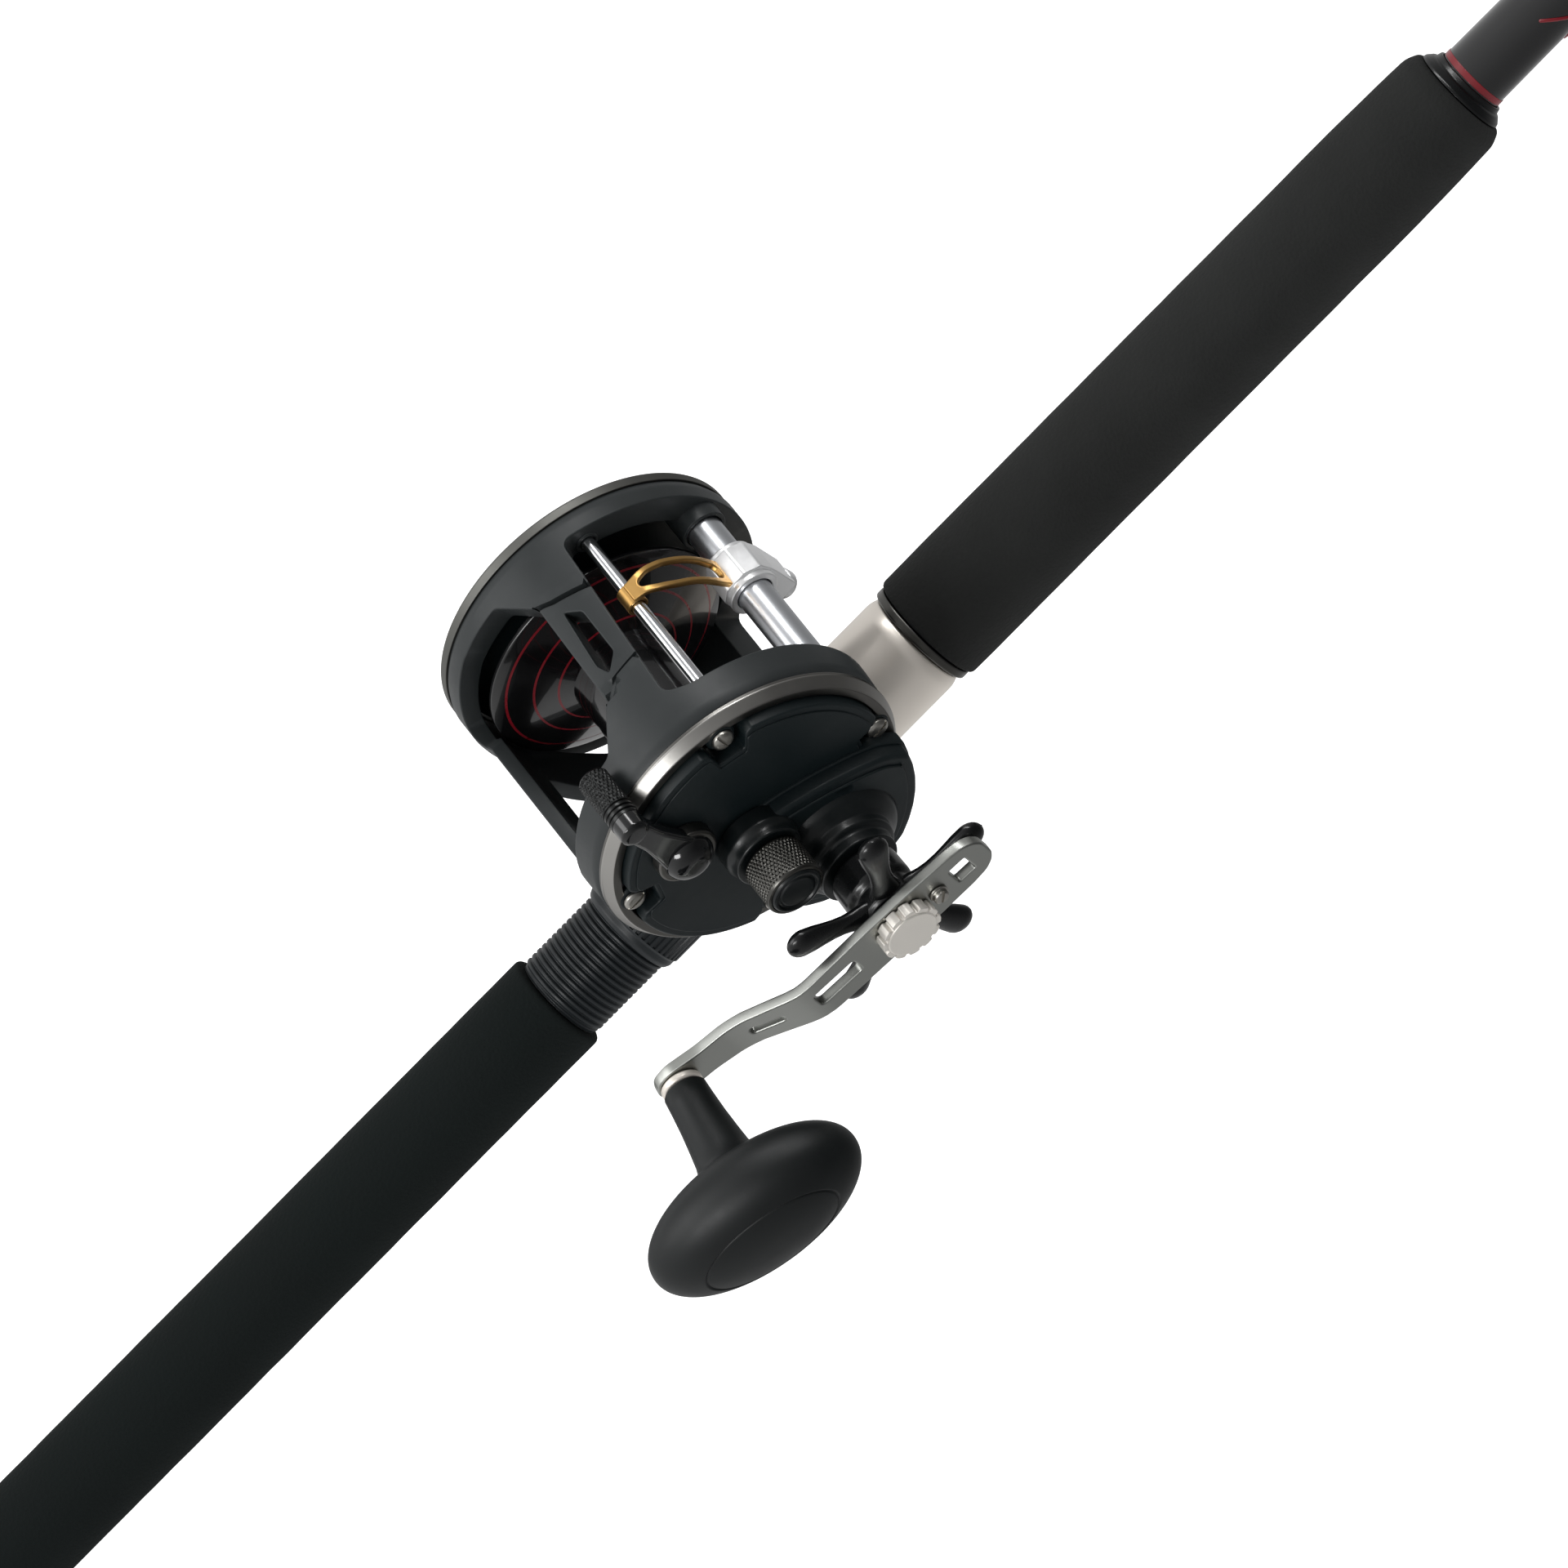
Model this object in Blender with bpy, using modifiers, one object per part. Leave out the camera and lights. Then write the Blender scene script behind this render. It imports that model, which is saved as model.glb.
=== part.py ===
"""Level-wind fishing reel on a boat rod.

Frame: metres. The origin is the centre of the rod's butt end, +X runs along the rod to its tip, +Y is to
the angler's left and +Z is up, with the reel on top of the rod and the crank on the -Y side.
Lengths below are in millimetres. Reel sections are drawn in x, z about the centre of the frame rings.
"""
import math

import bmesh
import bpy
from mathutils import Matrix, Vector

MM = 0.001
GAP = 0.3                     # clearance between neighbouring pieces
X_AXIS, Y_AXIS, Z_AXIS = Vector((1, 0, 0)), Vector((0, 1, 0)), Vector((0, 0, 1))

# Rod, stations along X
BUTT_CAP_END = 25.0
REAR_GRIP_END = 270.8
SEAT_START = 271.1
THREAD_END = 296.0
SEAT_END = 402.4
FOREGRIP_START = 405.5
FOREGRIP_END = 597.5
CHECK_END = 601.8
ROD_LENGTH = 1980.0
BUTT_CAP_R = 15.6
REAR_GRIP_R = 14.4
FOREGRIP_R = 16.1
BLANK_BUTT_R = 9.2
BLANK_TIP_R = 1.6
SEAT_R = 11.9
THREAD_R = 12.7
THREAD_PITCH = 1.8
HOOD_R = 14.75
HOOD_WALL = 0.65
HOOD_INNER_R = HOOD_R - HOOD_WALL
NUT_START, NUT_END = 296.3, 311.0
SLIDING_HOOD_END = 338.0
FIXED_HOOD_START = 366.0
GUIDE_STATIONS = (1040.0, 1330.0, 1560.0, 1745.0, 1885.0)
GUIDE_BORES_R = (9.0, 7.0, 5.5, 4.5, 4.0)
TIP_BORE_R = 4.0

# Reel
REEL_X, REEL_Z = 354.1, 60.6  # centre of the frame rings
RING_R = 43.5                 # outer radius of the frame rings
FRAME_LEFT, FRAME_RIGHT = 35.7, 37.7
FRONT_HALF_W, REAR_HALF_W = 26.5, 26.0    # half the free width between the rings
STRUT_HALF_W = 6.5
REAR_BAR_R = 42.0             # outer radius of the bar behind the spool
BORE_R = 35.0
SPOOL_C = (-4.0, 0.0)
CRANK_C = (7.4, -22.3)
SPOOL_FLANGE_R = 33.6
PINION_TEETH, DRIVE_TEETH, IDLER_TEETH = 8, 39, 30
MODULE = 2 * math.dist(SPOOL_C, CRANK_C) / (PINION_TEETH + DRIVE_TEETH)
PINION_R = MODULE * PINION_TEETH / 2
DRIVE_R = MODULE * DRIVE_TEETH / 2
IDLER_R = MODULE * IDLER_TEETH / 2
TRAIN_ANGLE = math.radians(7.8)    # direction from the spool to the worm
TOOTH_HEIGHT = 0.5
IDLER_REACH = PINION_R + IDLER_R
IDLER_C = (SPOOL_C[0] + IDLER_REACH * math.cos(TRAIN_ANGLE),
           SPOOL_C[1] + IDLER_REACH * math.sin(TRAIN_ANGLE))
WORM_C = (2 * IDLER_C[0] - SPOOL_C[0], 2 * IDLER_C[1] - SPOOL_C[1])
SHIELD_R = 4.75
BAR_C, BAR_R = (16.8, 33.4), 1.9
CARRIAGE_Y = 7.0
TRIM_R, TRIM_INNER_R = 43.0, 39.0
TRIM_THICK = {1: 2.2, -1: 4.0}  # left ring, right ring
SCREW_CIRCLE_R, LOBE_R = 37.2, 4.2
RIGHT_SCREWS = (-17.0, 70.0, 160.5, 243.0)
LEFT_SCREWS = (-10.0, 110.0, 230.0)
HOUSING_R, HOUSING_FACE = 45.5, 50.5
STAR_ARMS, STAR_ANGLE = 5, -7.0
STAR_Y = -75.6
ARM_Y, ARM_THICK = -80.5, 3.0
ARM_SWING = 69.0              # crank axis to knob
ARM_RISE = math.radians(4.9)
ARM_BEND = (31.0, 49.0)       # where the joggle starts and ends
ARM_JOGGLE = 7.75
KNOB_TILT = math.radians(6.5)
LEVER_C = (-16.1, 18.6)
LEVER_KNOB = (-17.2, 45.0)
CLICK_C = (17.0, -12.0)


def reel(x, z, y=0.0):
    """A point of the reel's section in world metres."""
    return Vector((REEL_X + x, y, REEL_Z + z)) * MM


def ring_point(radius, degrees, centre=(0.0, 0.0)):
    angle = math.radians(degrees)
    return centre[0] + radius * math.cos(angle), centre[1] + radius * math.sin(angle)


def arc(radius, start, end, count, centre=(0.0, 0.0)):
    return [ring_point(radius, start + (end - start) * i / (count - 1), centre) for i in range(count)]


# --- making objects -------------------------------------------------------------------------------------

def clear_scene():
    for obj in list(bpy.data.objects):
        bpy.data.objects.remove(obj, do_unlink=True)


def collection(name):
    made = bpy.data.collections.new(name)
    bpy.context.scene.collection.children.link(made)
    return made


def add(name, data, matrix=None):
    obj = bpy.data.objects.new(name, data)
    PARTS.objects.link(obj)
    if matrix is not None:
        obj.matrix_world = matrix
    return obj


def finish(obj, look):
    """Give the object its own Principled material from a (colour, roughness, metallic) look."""
    colour, roughness, metallic = look
    material = bpy.data.materials.new(obj.name)
    material.use_nodes = True
    shader = material.node_tree.nodes["Principled BSDF"]
    shader.inputs["Base Color"].default_value = (*colour, 1.0)
    shader.inputs["Roughness"].default_value = roughness
    shader.inputs["Metallic"].default_value = metallic
    obj.data.materials.append(material)
    return obj


def aligned(origin, axis):
    """A matrix at the origin whose local Z runs along the axis."""
    return Matrix.Translation(origin) @ Z_AXIS.rotation_difference(axis).to_matrix().to_4x4()


def turned(name, profile, origin, axis, steps=24):
    """Turn (radius, distance) points, listed from the far end down the outer side, about an axis."""
    mesh = bpy.data.meshes.new(name)
    count = len(profile)
    edges = [(i, i + 1) for i in range(count - 1)]
    if profile[0][0] > 0:
        edges.append((count - 1, 0))
    mesh.from_pydata([(r * MM, 0, t * MM) for r, t in profile], edges, [])
    obj = add(name, mesh, aligned(origin, axis))
    screw = obj.modifiers.new("turn", "SCREW")
    screw.steps = screw.render_steps = steps
    screw.use_merge_vertices = True
    screw.merge_threshold = 0.00001
    return obj


def rod(name, x0, x1, radius, **options):
    """A solid cylinder along X, as a turned profile."""
    return turned(name, [(0, x1), (radius, x1), (radius, x0), (0, x0)], Vector(), X_AXIS, **options)


def pin(name, centre, radius, y0, y1, steps=20):
    """A solid cylinder along Y at a place of the reel's section."""
    return turned(name, [(0, y1), (radius, y1), (radius, y0), (0, y0)], reel(*centre), Y_AXIS, steps)


def sleeve(name, centre, outer, inner, y0, y1, steps=20):
    profile = [(inner, y1), (outer, y1), (outer, y0), (inner, y0)]
    return turned(name, profile, reel(*centre), Y_AXIS, steps)


def as_mesh(curve_object):
    """Replace a curve object by a welded mesh object."""
    bpy.context.view_layer.update()
    evaluated = curve_object.evaluated_get(bpy.context.evaluated_depsgraph_get())
    mesh = bpy.data.meshes.new_from_object(evaluated)
    work = bmesh.new()
    work.from_mesh(mesh)
    bmesh.ops.remove_doubles(work, verts=work.verts, dist=0.000001)
    bmesh.ops.recalc_face_normals(work, faces=work.faces)
    work.to_mesh(mesh)
    work.free()
    name, matrix = curve_object.name, curve_object.matrix_world.copy()
    bpy.data.objects.remove(curve_object, do_unlink=True)
    return add(name, mesh, matrix)


def plate(name, outlines, thickness, matrix):
    """A flat plate from closed outlines in millimetres; inner outlines are holes."""
    curve = bpy.data.curves.new(name, "CURVE")
    curve.dimensions = "2D"
    curve.fill_mode = "BOTH"
    curve.extrude = thickness * MM / 2
    for outline in outlines:
        spline = curve.splines.new("POLY")
        spline.points.add(len(outline) - 1)
        for point, (x, y) in zip(spline.points, outline):
            point.co = (x * MM, y * MM, 0, 1)
        spline.use_cyclic_u = True
    return as_mesh(add(name, curve, matrix))


def section(name, outlines, y0, y1, centre=(0.0, 0.0)):
    """A plate between two Y positions, drawn in x, z about a centre of the reel's section."""
    place = Matrix.Translation(reel(*centre, (y0 + y1) / 2)) @ Matrix.Rotation(math.pi / 2, 4, "X")
    return plate(name, outlines, y1 - y0, place)


def wire(name, points, radius):
    """A round wire through points in metres."""
    curve = bpy.data.curves.new(name, "CURVE")
    curve.dimensions = "3D"
    curve.bevel_depth = radius * MM
    curve.bevel_resolution = 1
    curve.use_fill_caps = True
    spline = curve.splines.new("POLY")
    spline.points.add(len(points) - 1)
    for point, place in zip(spline.points, points):
        point.co = (*place, 1)
    return as_mesh(add(name, curve))


def block(name, low, high, matrix=None):
    """A box between two corners in millimetres."""
    mesh = bpy.data.meshes.new(name)
    work = bmesh.new()
    bmesh.ops.create_cube(work, size=1)
    low, high = Vector(low) * MM, Vector(high) * MM
    bmesh.ops.scale(work, vec=high - low, verts=work.verts)
    bmesh.ops.translate(work, vec=(high + low) / 2, verts=work.verts)
    work.to_mesh(mesh)
    work.free()
    return add(name, mesh, matrix)


def combine(target, other, operation):
    """Boolean another object into the target, and keep it as a hidden tool."""
    PARTS.objects.unlink(other)
    TOOLS.objects.link(other)
    other.hide_render = True
    other.display_type = "WIRE"
    change = target.modifiers.new(operation.lower(), "BOOLEAN")
    change.operation = operation
    change.solver = "EXACT"
    change.object = other
    return target


def cut(target, *others):
    for other in others:
        combine(target, other, "DIFFERENCE")
    return target


def join(target, *others):
    """Boolean other objects onto the target, in the order given."""
    for other in others:
        combine(target, other, "UNION")
    return target


# --- finishes: colour, roughness, metallic --------------------------------------------------------------

FOAM = ((0.012, 0.012, 0.013), 0.95, 0.0)
GRAPHITE = ((0.030, 0.031, 0.034), 0.5, 0.1)
BLUE_BLACK = ((0.014, 0.017, 0.021), 0.45, 0.2)
GLOSS_BLACK = ((0.006, 0.006, 0.007), 0.12, 0.0)
RUBBER = ((0.015, 0.015, 0.015), 0.75, 0.0)
STEEL = ((0.62, 0.60, 0.57), 0.28, 1.0)
CHROME = ((0.75, 0.75, 0.76), 0.08, 1.0)
TRIM_METAL = ((0.30, 0.28, 0.26), 0.35, 1.0)
GUNMETAL = ((0.16, 0.155, 0.15), 0.35, 1.0)
GOLD = ((0.75, 0.45, 0.10), 0.28, 1.0)
BRASS = ((0.65, 0.48, 0.20), 0.30, 1.0)
CERAMIC = ((0.05, 0.05, 0.055), 0.15, 0.0)
CARBON = ((0.04, 0.04, 0.045), 0.6, 0.0)


# --- rod ------------------------------------------------------------------------------------------------

def blank_radius(x):
    """The blank is parallel under the grips and tapers evenly to the tip."""
    share = max(0.0, (x - CHECK_END) / (ROD_LENGTH - CHECK_END))
    return BLANK_BUTT_R + (BLANK_TIP_R - BLANK_BUTT_R) * share


def make_blank():
    wall = 2.0
    stations = (ROD_LENGTH - 4, 1300, CHECK_END, 5)
    outer = [(blank_radius(x), x) for x in stations]
    inner = [(max(0.6, blank_radius(x) - wall), x) for x in reversed(stations)]
    finish(turned("rod_blank", outer + inner, Vector(), X_AXIS, 20), GLOSS_BLACK)


def make_grips():
    bore = BLANK_BUTT_R + GAP
    cap = [(0, 4.5), (bore, 4.5), (bore, BUTT_CAP_END), (BUTT_CAP_R - 1, BUTT_CAP_END),
           (BUTT_CAP_R, BUTT_CAP_END - 1.5), (BUTT_CAP_R, 2.5), (BUTT_CAP_R - 2.5, 0), (0, 0)]
    finish(turned("butt_cap", cap, Vector(), X_AXIS), RUBBER)
    chamfer = 1.5
    start = BUTT_CAP_END + GAP
    rear = [(bore, REAR_GRIP_END), (REAR_GRIP_R - chamfer, REAR_GRIP_END),
            (REAR_GRIP_R, REAR_GRIP_END - chamfer), (REAR_GRIP_R, start + chamfer),
            (REAR_GRIP_R - chamfer, start), (bore, start)]
    finish(turned("rear_grip", rear, Vector(), X_AXIS), FOAM)
    fore = [(bore, FOREGRIP_END), (14.0, FOREGRIP_END), (15.4, FOREGRIP_END - chamfer),
            (FOREGRIP_R, FOREGRIP_END - 26), (FOREGRIP_R, FOREGRIP_START + chamfer),
            (FOREGRIP_R - chamfer, FOREGRIP_START), (bore, FOREGRIP_START)]
    finish(turned("foregrip", fore, Vector(), X_AXIS), FOAM)
    check = [(bore, CHECK_END), (10.2, CHECK_END), (11.2, CHECK_END - 1.6), (12.6, FOREGRIP_END + GAP),
             (bore, FOREGRIP_END + GAP)]
    finish(turned("winding_check", check, Vector(), X_AXIS), GLOSS_BLACK)


def make_seat():
    bore = BLANK_BUTT_R + GAP
    ridges = []
    x = SEAT_START + 1.4
    while x < THREAD_END - 0.5:
        ridges += [(THREAD_R - 0.55, x - THREAD_PITCH / 2), (THREAD_R, x)]
        x += THREAD_PITCH
    outer = [(SEAT_R, SEAT_END), (SEAT_R, NUT_END), (THREAD_R - 0.55, NUT_END - 0.5)]
    outer += list(reversed(ridges)) + [(THREAD_R - 0.55, SEAT_START)]
    profile = [(bore, SEAT_END)] + outer + [(bore, SEAT_START)]
    finish(turned("reel_seat", profile, Vector(), X_AXIS, 16), GRAPHITE)
    lip = SEAT_R + GAP
    hood = [(lip, SEAT_END), (HOOD_R - 1.0, SEAT_END), (HOOD_R, SEAT_END - 2.5), (HOOD_R, FIXED_HOOD_START),
            (HOOD_INNER_R, FIXED_HOOD_START), (HOOD_INNER_R, SEAT_END - 6.5), (lip, SEAT_END - 5.5)]
    finish(turned("fixed_hood", hood, Vector(), X_AXIS), STEEL)
    ring = [(bore, FOREGRIP_START - GAP), (15.2, FOREGRIP_START - GAP), (15.2, SEAT_END + GAP),
            (bore, SEAT_END + GAP)]
    finish(turned("seat_trim_ring", ring, Vector(), X_AXIS), GUNMETAL)


def make_sliding_hood():
    nut_bore = THREAD_R + 0.25
    collar = 3.0
    length = NUT_END - GAP - NUT_START
    nut = [(nut_bore, length), (HOOD_R - 0.4, length), (HOOD_R - 0.4, collar),
           (HOOD_R - 1.2, collar - 0.8), (HOOD_R - 1.4, 0), (nut_bore, 0)]
    finish(turned("lock_nut", nut, Vector((NUT_START * MM, 0, 0)), X_AXIS), GRAPHITE)
    back = NUT_END + 3.0
    hood = [(HOOD_INNER_R, SLIDING_HOOD_END), (HOOD_R, SLIDING_HOOD_END), (HOOD_R, NUT_END + 1.5),
            (HOOD_R - 1.5, NUT_END), (THREAD_R + GAP, NUT_END), (THREAD_R + GAP, back),
            (HOOD_INNER_R, back + 0.8)]
    finish(turned("sliding_hood", hood, Vector(), X_AXIS), GRAPHITE)


def make_guides():
    for number, (x, bore) in enumerate(zip(GUIDE_STATIONS, GUIDE_BORES_R), 1):
        make_guide(number, x, bore)
    make_tip_top()


def guide_ring(name, centre, bore):
    """The hard ring that the line runs through."""
    profile = [(bore, 0.9), (bore + 1.4, 1.2), (bore + 1.4, -1.2), (bore, -0.9)]
    finish(turned(name, profile, centre, X_AXIS, 16), CERAMIC)


def guide_frame_ring(name, centre, bore):
    inner = bore + 1.4 + GAP
    profile = [(inner, 1.0), (inner + 1.3, 1.0), (inner + 1.3, -1.0), (inner, -1.0)]
    return turned(name, profile, centre, X_AXIS, 16)


def make_guide(number, x, bore):
    """A double-foot guide: a ring on three legs with two feet on the blank."""
    frame_r = bore + 1.4 + GAP + 0.7
    lift = frame_r + 6.0
    centre = Vector((x, 0, blank_radius(x) + lift)) * MM
    frame = guide_frame_ring(f"guide_{number}", centre, bore)
    reach = 1.3 * lift
    foot_top = blank_radius(x) + GAP + 0.7
    for side in (1, -1):
        points = [(x - reach - 7, side * 1.1, foot_top), (x - reach, side * 1.1, foot_top + 0.3),
                  (x - 0.2, side * frame_r * 0.97, centre.z / MM - frame_r * 0.2)]
        join(frame, wire(f"guide_{number}_leg", [Vector(p) * MM for p in points], 0.75))
    points = [(x, 0, centre.z / MM - frame_r - 0.4), (x + 0.55 * reach, 0, foot_top + 0.3),
              (x + 0.55 * reach + 8, 0, foot_top)]
    join(frame, wire(f"guide_{number}_front", [Vector(p) * MM for p in points], 0.75))
    finish(frame, STEEL)
    guide_ring(f"guide_ring_{number}", centre, bore)


def make_tip_top():
    """A ring standing on a tube that covers the blank's tip."""
    end = ROD_LENGTH - 4 + GAP
    tube_r = BLANK_TIP_R + GAP + 0.9
    centre = Vector((ROD_LENGTH - 1.5, 0, TIP_BORE_R + tube_r + 2.1)) * MM
    frame = guide_frame_ring("tip_top", centre, TIP_BORE_R)
    bore = BLANK_TIP_R + GAP + 0.1
    tube = [(0, ROD_LENGTH), (tube_r - 0.4, ROD_LENGTH), (tube_r, ROD_LENGTH - 0.6), (tube_r, end - 16),
            (bore, end - 16), (bore, end), (0, end)]
    join(frame, turned("tip_tube", tube, Vector(), X_AXIS, 20))
    finish(frame, STEEL)
    guide_ring("tip_ring", centre, TIP_BORE_R)


# --- reel: frame and covers -----------------------------------------------------------------------------

def sector(start, end, inner=24.0, outer=52.0):
    """An outline between two angles, used to open the frame."""
    return arc(inner, start, end, 4) + arc(outer, end, start, 6)


def strut_matrix():
    """The strut that slants across the lower opening: local X along it, local Z straight out."""
    angle = math.radians(211)
    outward = Vector((math.cos(angle), 0, math.sin(angle)))
    along = Vector((-math.sin(angle), -0.42, math.cos(angle))).normalized()
    turn = Matrix((along, outward.cross(along), outward)).transposed().to_4x4()
    return Matrix.Translation(reel(41 * outward.x, 41 * outward.z, 18.4)) @ turn


def make_frame():
    left, right = FRAME_LEFT, -FRAME_RIGHT
    drum = [(0, left), (RING_R - 1.0, left), (RING_R, left - 2), (RING_R, right + 2),
            (RING_R - 1.0, right), (0, right)]
    frame = turned("reel_frame", drum, reel(0, 0), Y_AXIS, 48)
    join(frame, block("frame_boss", (REEL_X - 20, -12, REEL_Z - RING_R), (REEL_X + 20, 12, REEL_Z - 36.5)))
    cut(frame, pin("frame_bore", SPOOL_C, BORE_R, -50, 50, steps=40))
    for name, start, end, half in (("front", 74, -61, FRONT_HALF_W), ("rear", 170, 95, REAR_HALF_W)):
        cut(frame, section(f"{name}_opening", [sector(start, end)], -half, half))
    lower = section("lower_opening", [sector(238, 192)], -REAR_HALF_W, REAR_HALF_W)
    combine(lower, block("lower_strut", (-40, -STRUT_HALF_W, -14), (40, STRUT_HALF_W, 14), strut_matrix()),
            "DIFFERENCE")
    cut(frame, lower)
    relief = arc(REAR_BAR_R, 164, 197, 8) + arc(RING_R + 5, 197, 164, 6)
    cut(frame, section("bar_relief", [relief], 0.5 - REAR_HALF_W, REAR_HALF_W - 0.5))
    tilt = Matrix.Translation(reel(0, 0)) @ Matrix.Rotation(math.radians(5.0), 4, "Y")
    cut(frame, block("crossbar_window", (-2.6, -8, 25), (2.6, 10, 50), tilt))
    cut(frame, pin("shield_holes", WORM_C, SHIELD_R + GAP, -33, 33),
        pin("bar_holes", BAR_C, BAR_R + GAP, -31, 31, steps=16),
        pin("idler_pocket", IDLER_C, IDLER_R + 0.6, -50, -31, steps=28),
        pin("worm_gear_pocket", WORM_C, PINION_R + 0.7, -50, -31))
    finish(frame, GRAPHITE)


def make_foot():
    """A curved steel foot that the two hoods clamp, with the pedestal for the frame."""
    underside = SEAT_R + GAP
    half_l = 34.0
    middle = 360.0
    outline = [(-half_l, -6), (-half_l + 3, -8), (-20, -10), (20, -10), (half_l - 3, -8), (half_l, -6),
               (half_l, 6), (half_l - 3, 8), (20, 10), (-20, 10), (-half_l + 3, 8), (-half_l, 6)]
    foot = plate("reel_foot", [outline], 12, Matrix.Translation(Vector((middle, 0, 11.5)) * MM))
    combine(foot, rod("foot_curve", middle - 40, middle + 40, underside + 1.6, steps=48), "INTERSECT")
    pedestal_top = REEL_Z - RING_R - GAP
    join(foot, block("foot_pedestal", (REEL_X - 15, -8, 11.0), (REEL_X + 11, 8, pedestal_top)))
    cut(foot, rod("foot_saddle", middle - 50, middle + 50, underside, steps=48))
    finish(foot, STEEL)


def trim_base(side):
    """Distance of a trim ring's inner face from the reel's middle."""
    return (FRAME_LEFT if side > 0 else FRAME_RIGHT) + GAP


def trim_ring(name, side, angles):
    """The metal ring on a frame ring, with a sloping outer edge and a lobe under each cover screw."""
    base = trim_base(side)
    face = base + TRIM_THICK[side]
    slope = 0.6 * TRIM_THICK[side]
    profile = [(TRIM_INNER_R, face), (TRIM_R - 2.0, face), (TRIM_R, face - slope), (TRIM_R, base),
               (TRIM_INNER_R, base)]
    ring = turned(name, profile, reel(0, 0), Y_AXIS * side, 36)
    low, high = sorted((side * base, side * face))
    for angle in angles:
        join(ring, pin(f"{name}_lobe", ring_point(SCREW_CIRCLE_R, angle), LOBE_R, low, high, steps=14))
    finish(ring, TRIM_METAL)


def notch_cover(cover, angles):
    """Clear a side plate round the trim ring's lobes."""
    for angle in angles:
        cut(cover, pin("screw_notch", ring_point(SCREW_CIRCLE_R, angle), LOBE_R + GAP, -60, 60, steps=14))


def cover_screw(name, angle, side):
    """A slotted pan-head screw lying on a lobe of the trim ring."""
    x, z = ring_point(SCREW_CIRCLE_R, angle)
    base = trim_base(side) + TRIM_THICK[side] + GAP
    top = base + 2.0
    profile = [(0, top), (1.6, top), (2.9, top - 0.9), (2.9, base), (0, base)]
    screw = turned(name, profile, reel(x, z), Y_AXIS * side, 12)
    slot = Matrix.Translation(reel(x, z, side * top)) @ Matrix.Rotation(math.radians(-angle), 4, "Y")
    cut(screw, block(f"{name}_slot", (-4, -0.6, -0.35), (4, 0.6, 0.35), slot))
    finish(screw, STEEL)


def make_left_cover():
    rim = TRIM_INNER_R - GAP
    base = trim_base(1)
    profile = [(0, base + 5.6), (12, base + 5.6), (rim - 1.2, base + 3.4), (rim, base + 2.4), (rim, base),
               (BORE_R - 6, base), (BORE_R - 6, base + 2.2), (0, base + 3.4)]
    cover = turned("left_side_plate", profile, reel(0, 0), Y_AXIS, 36)
    join(cover, pin("left_boss", SPOOL_C, 8.0, 33.0, 41.0))
    cut(cover, pin("left_bearing_seat", SPOOL_C, 5.3 + GAP, 30, 38.5, steps=18),
        pin("left_shaft_hole", SPOOL_C, 3.4, 38, 40.6), pin("click_hole", CLICK_C, 2.6, 30, 50, steps=16))
    notch_cover(cover, LEFT_SCREWS)
    finish(cover, BLUE_BLACK)


def make_click_button():
    """A mushroom button whose stem slides in the left plate."""
    top = trim_base(1) + 12.0
    profile = [(0, top), (3.6, top), (4.6, top - 1), (4.6, top - 2.8), (2.2, top - 2.8), (2.2, 36.5),
               (0, 36.5)]
    finish(turned("click_button", profile, reel(*CLICK_C), Y_AXIS, 20), GUNMETAL)


def housing_outline():
    """The raised gear housing: it covers the drive gear and overhangs the ring at the lower front."""
    upper_edge = [(27.4, -7.4), (17.8, -1.0), (7.4, 4.2), (-0.6, 7.6), (-4.0, 8.6)]
    boss = arc(8.6, 100, 215, 5, SPOOL_C)
    rear = arc(23.0, 155, 256, 9, CRANK_C)
    front = arc(40.8, -61, -14, 7, (-3.2, -7.1))
    return upper_edge + boss + rear + arc(HOUSING_R, -84, -70, 3) + front


def make_right_cover():
    rim = TRIM_INNER_R - GAP
    face, inner = -45.0, -trim_base(-1)
    disc = [(0, inner), (rim, inner), (rim, face + 1.5), (rim - 1.5, face), (0, face)]
    cover = turned("right_side_plate", disc, reel(0, 0), Y_AXIS, 36)
    housing_back = -trim_base(-1) - TRIM_THICK[-1] - GAP
    notch_cover(cover, RIGHT_SCREWS)
    join(cover, section("gear_housing", [housing_outline()], -HOUSING_FACE, housing_back))
    hub = [(0, -40), (17, -40), (17, -51.5), (13.5, -54.0), (12.5, -57.5), (11.0, -58.0), (11.0, -61.5),
           (0, -61.5)]
    join(cover, turned("drag_hub", hub, reel(*CRANK_C), Y_AXIS, 28))
    join(cover, pin("tension_boss", SPOOL_C, 9.4, -54.5, -42))
    join(cover, pin("idler_post", IDLER_C, 1.5, -40, -31.2, steps=16))
    cut(cover, pin("drive_gear_space", CRANK_C, DRIVE_R + 0.9, -49.0, -30, steps=32),
        pin("drive_shaft_bore", CRANK_C, 4.2, -70, -30),
        pin("pinion_space", SPOOL_C, PINION_R + 0.8, -49.2, -30),
        pin("right_bearing_seat", SPOOL_C, 5.3 + GAP, -53.0, -49, steps=18),
        pin("spool_shaft_bore", SPOOL_C, 3.4, -60, -40),
        pin("worm_end_space", WORM_C, 3.5, -38, -30, steps=16))
    finish(cover, BLUE_BLACK)


def make_level_wind_rails():
    """The guide bar, and the shield tube that is slotted underneath for the pawl."""
    finish(pin("guide_bar", BAR_C, BAR_R, -30.5, 30.5, steps=16), CHROME)
    shield = sleeve("worm_shield", WORM_C, SHIELD_R, 3.7, -30.7, 30.5, steps=28)
    slot = Matrix.Translation(reel(*WORM_C)) @ Matrix.Rotation(math.radians(-25), 4, "Y")
    cut(shield, block("pawl_slot", (-1.6, -20.5, -8), (1.6, 20.5, -1), slot))
    finish(shield, CHROME)


# --- reel: moving pieces --------------------------------------------------------------------------------

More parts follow.
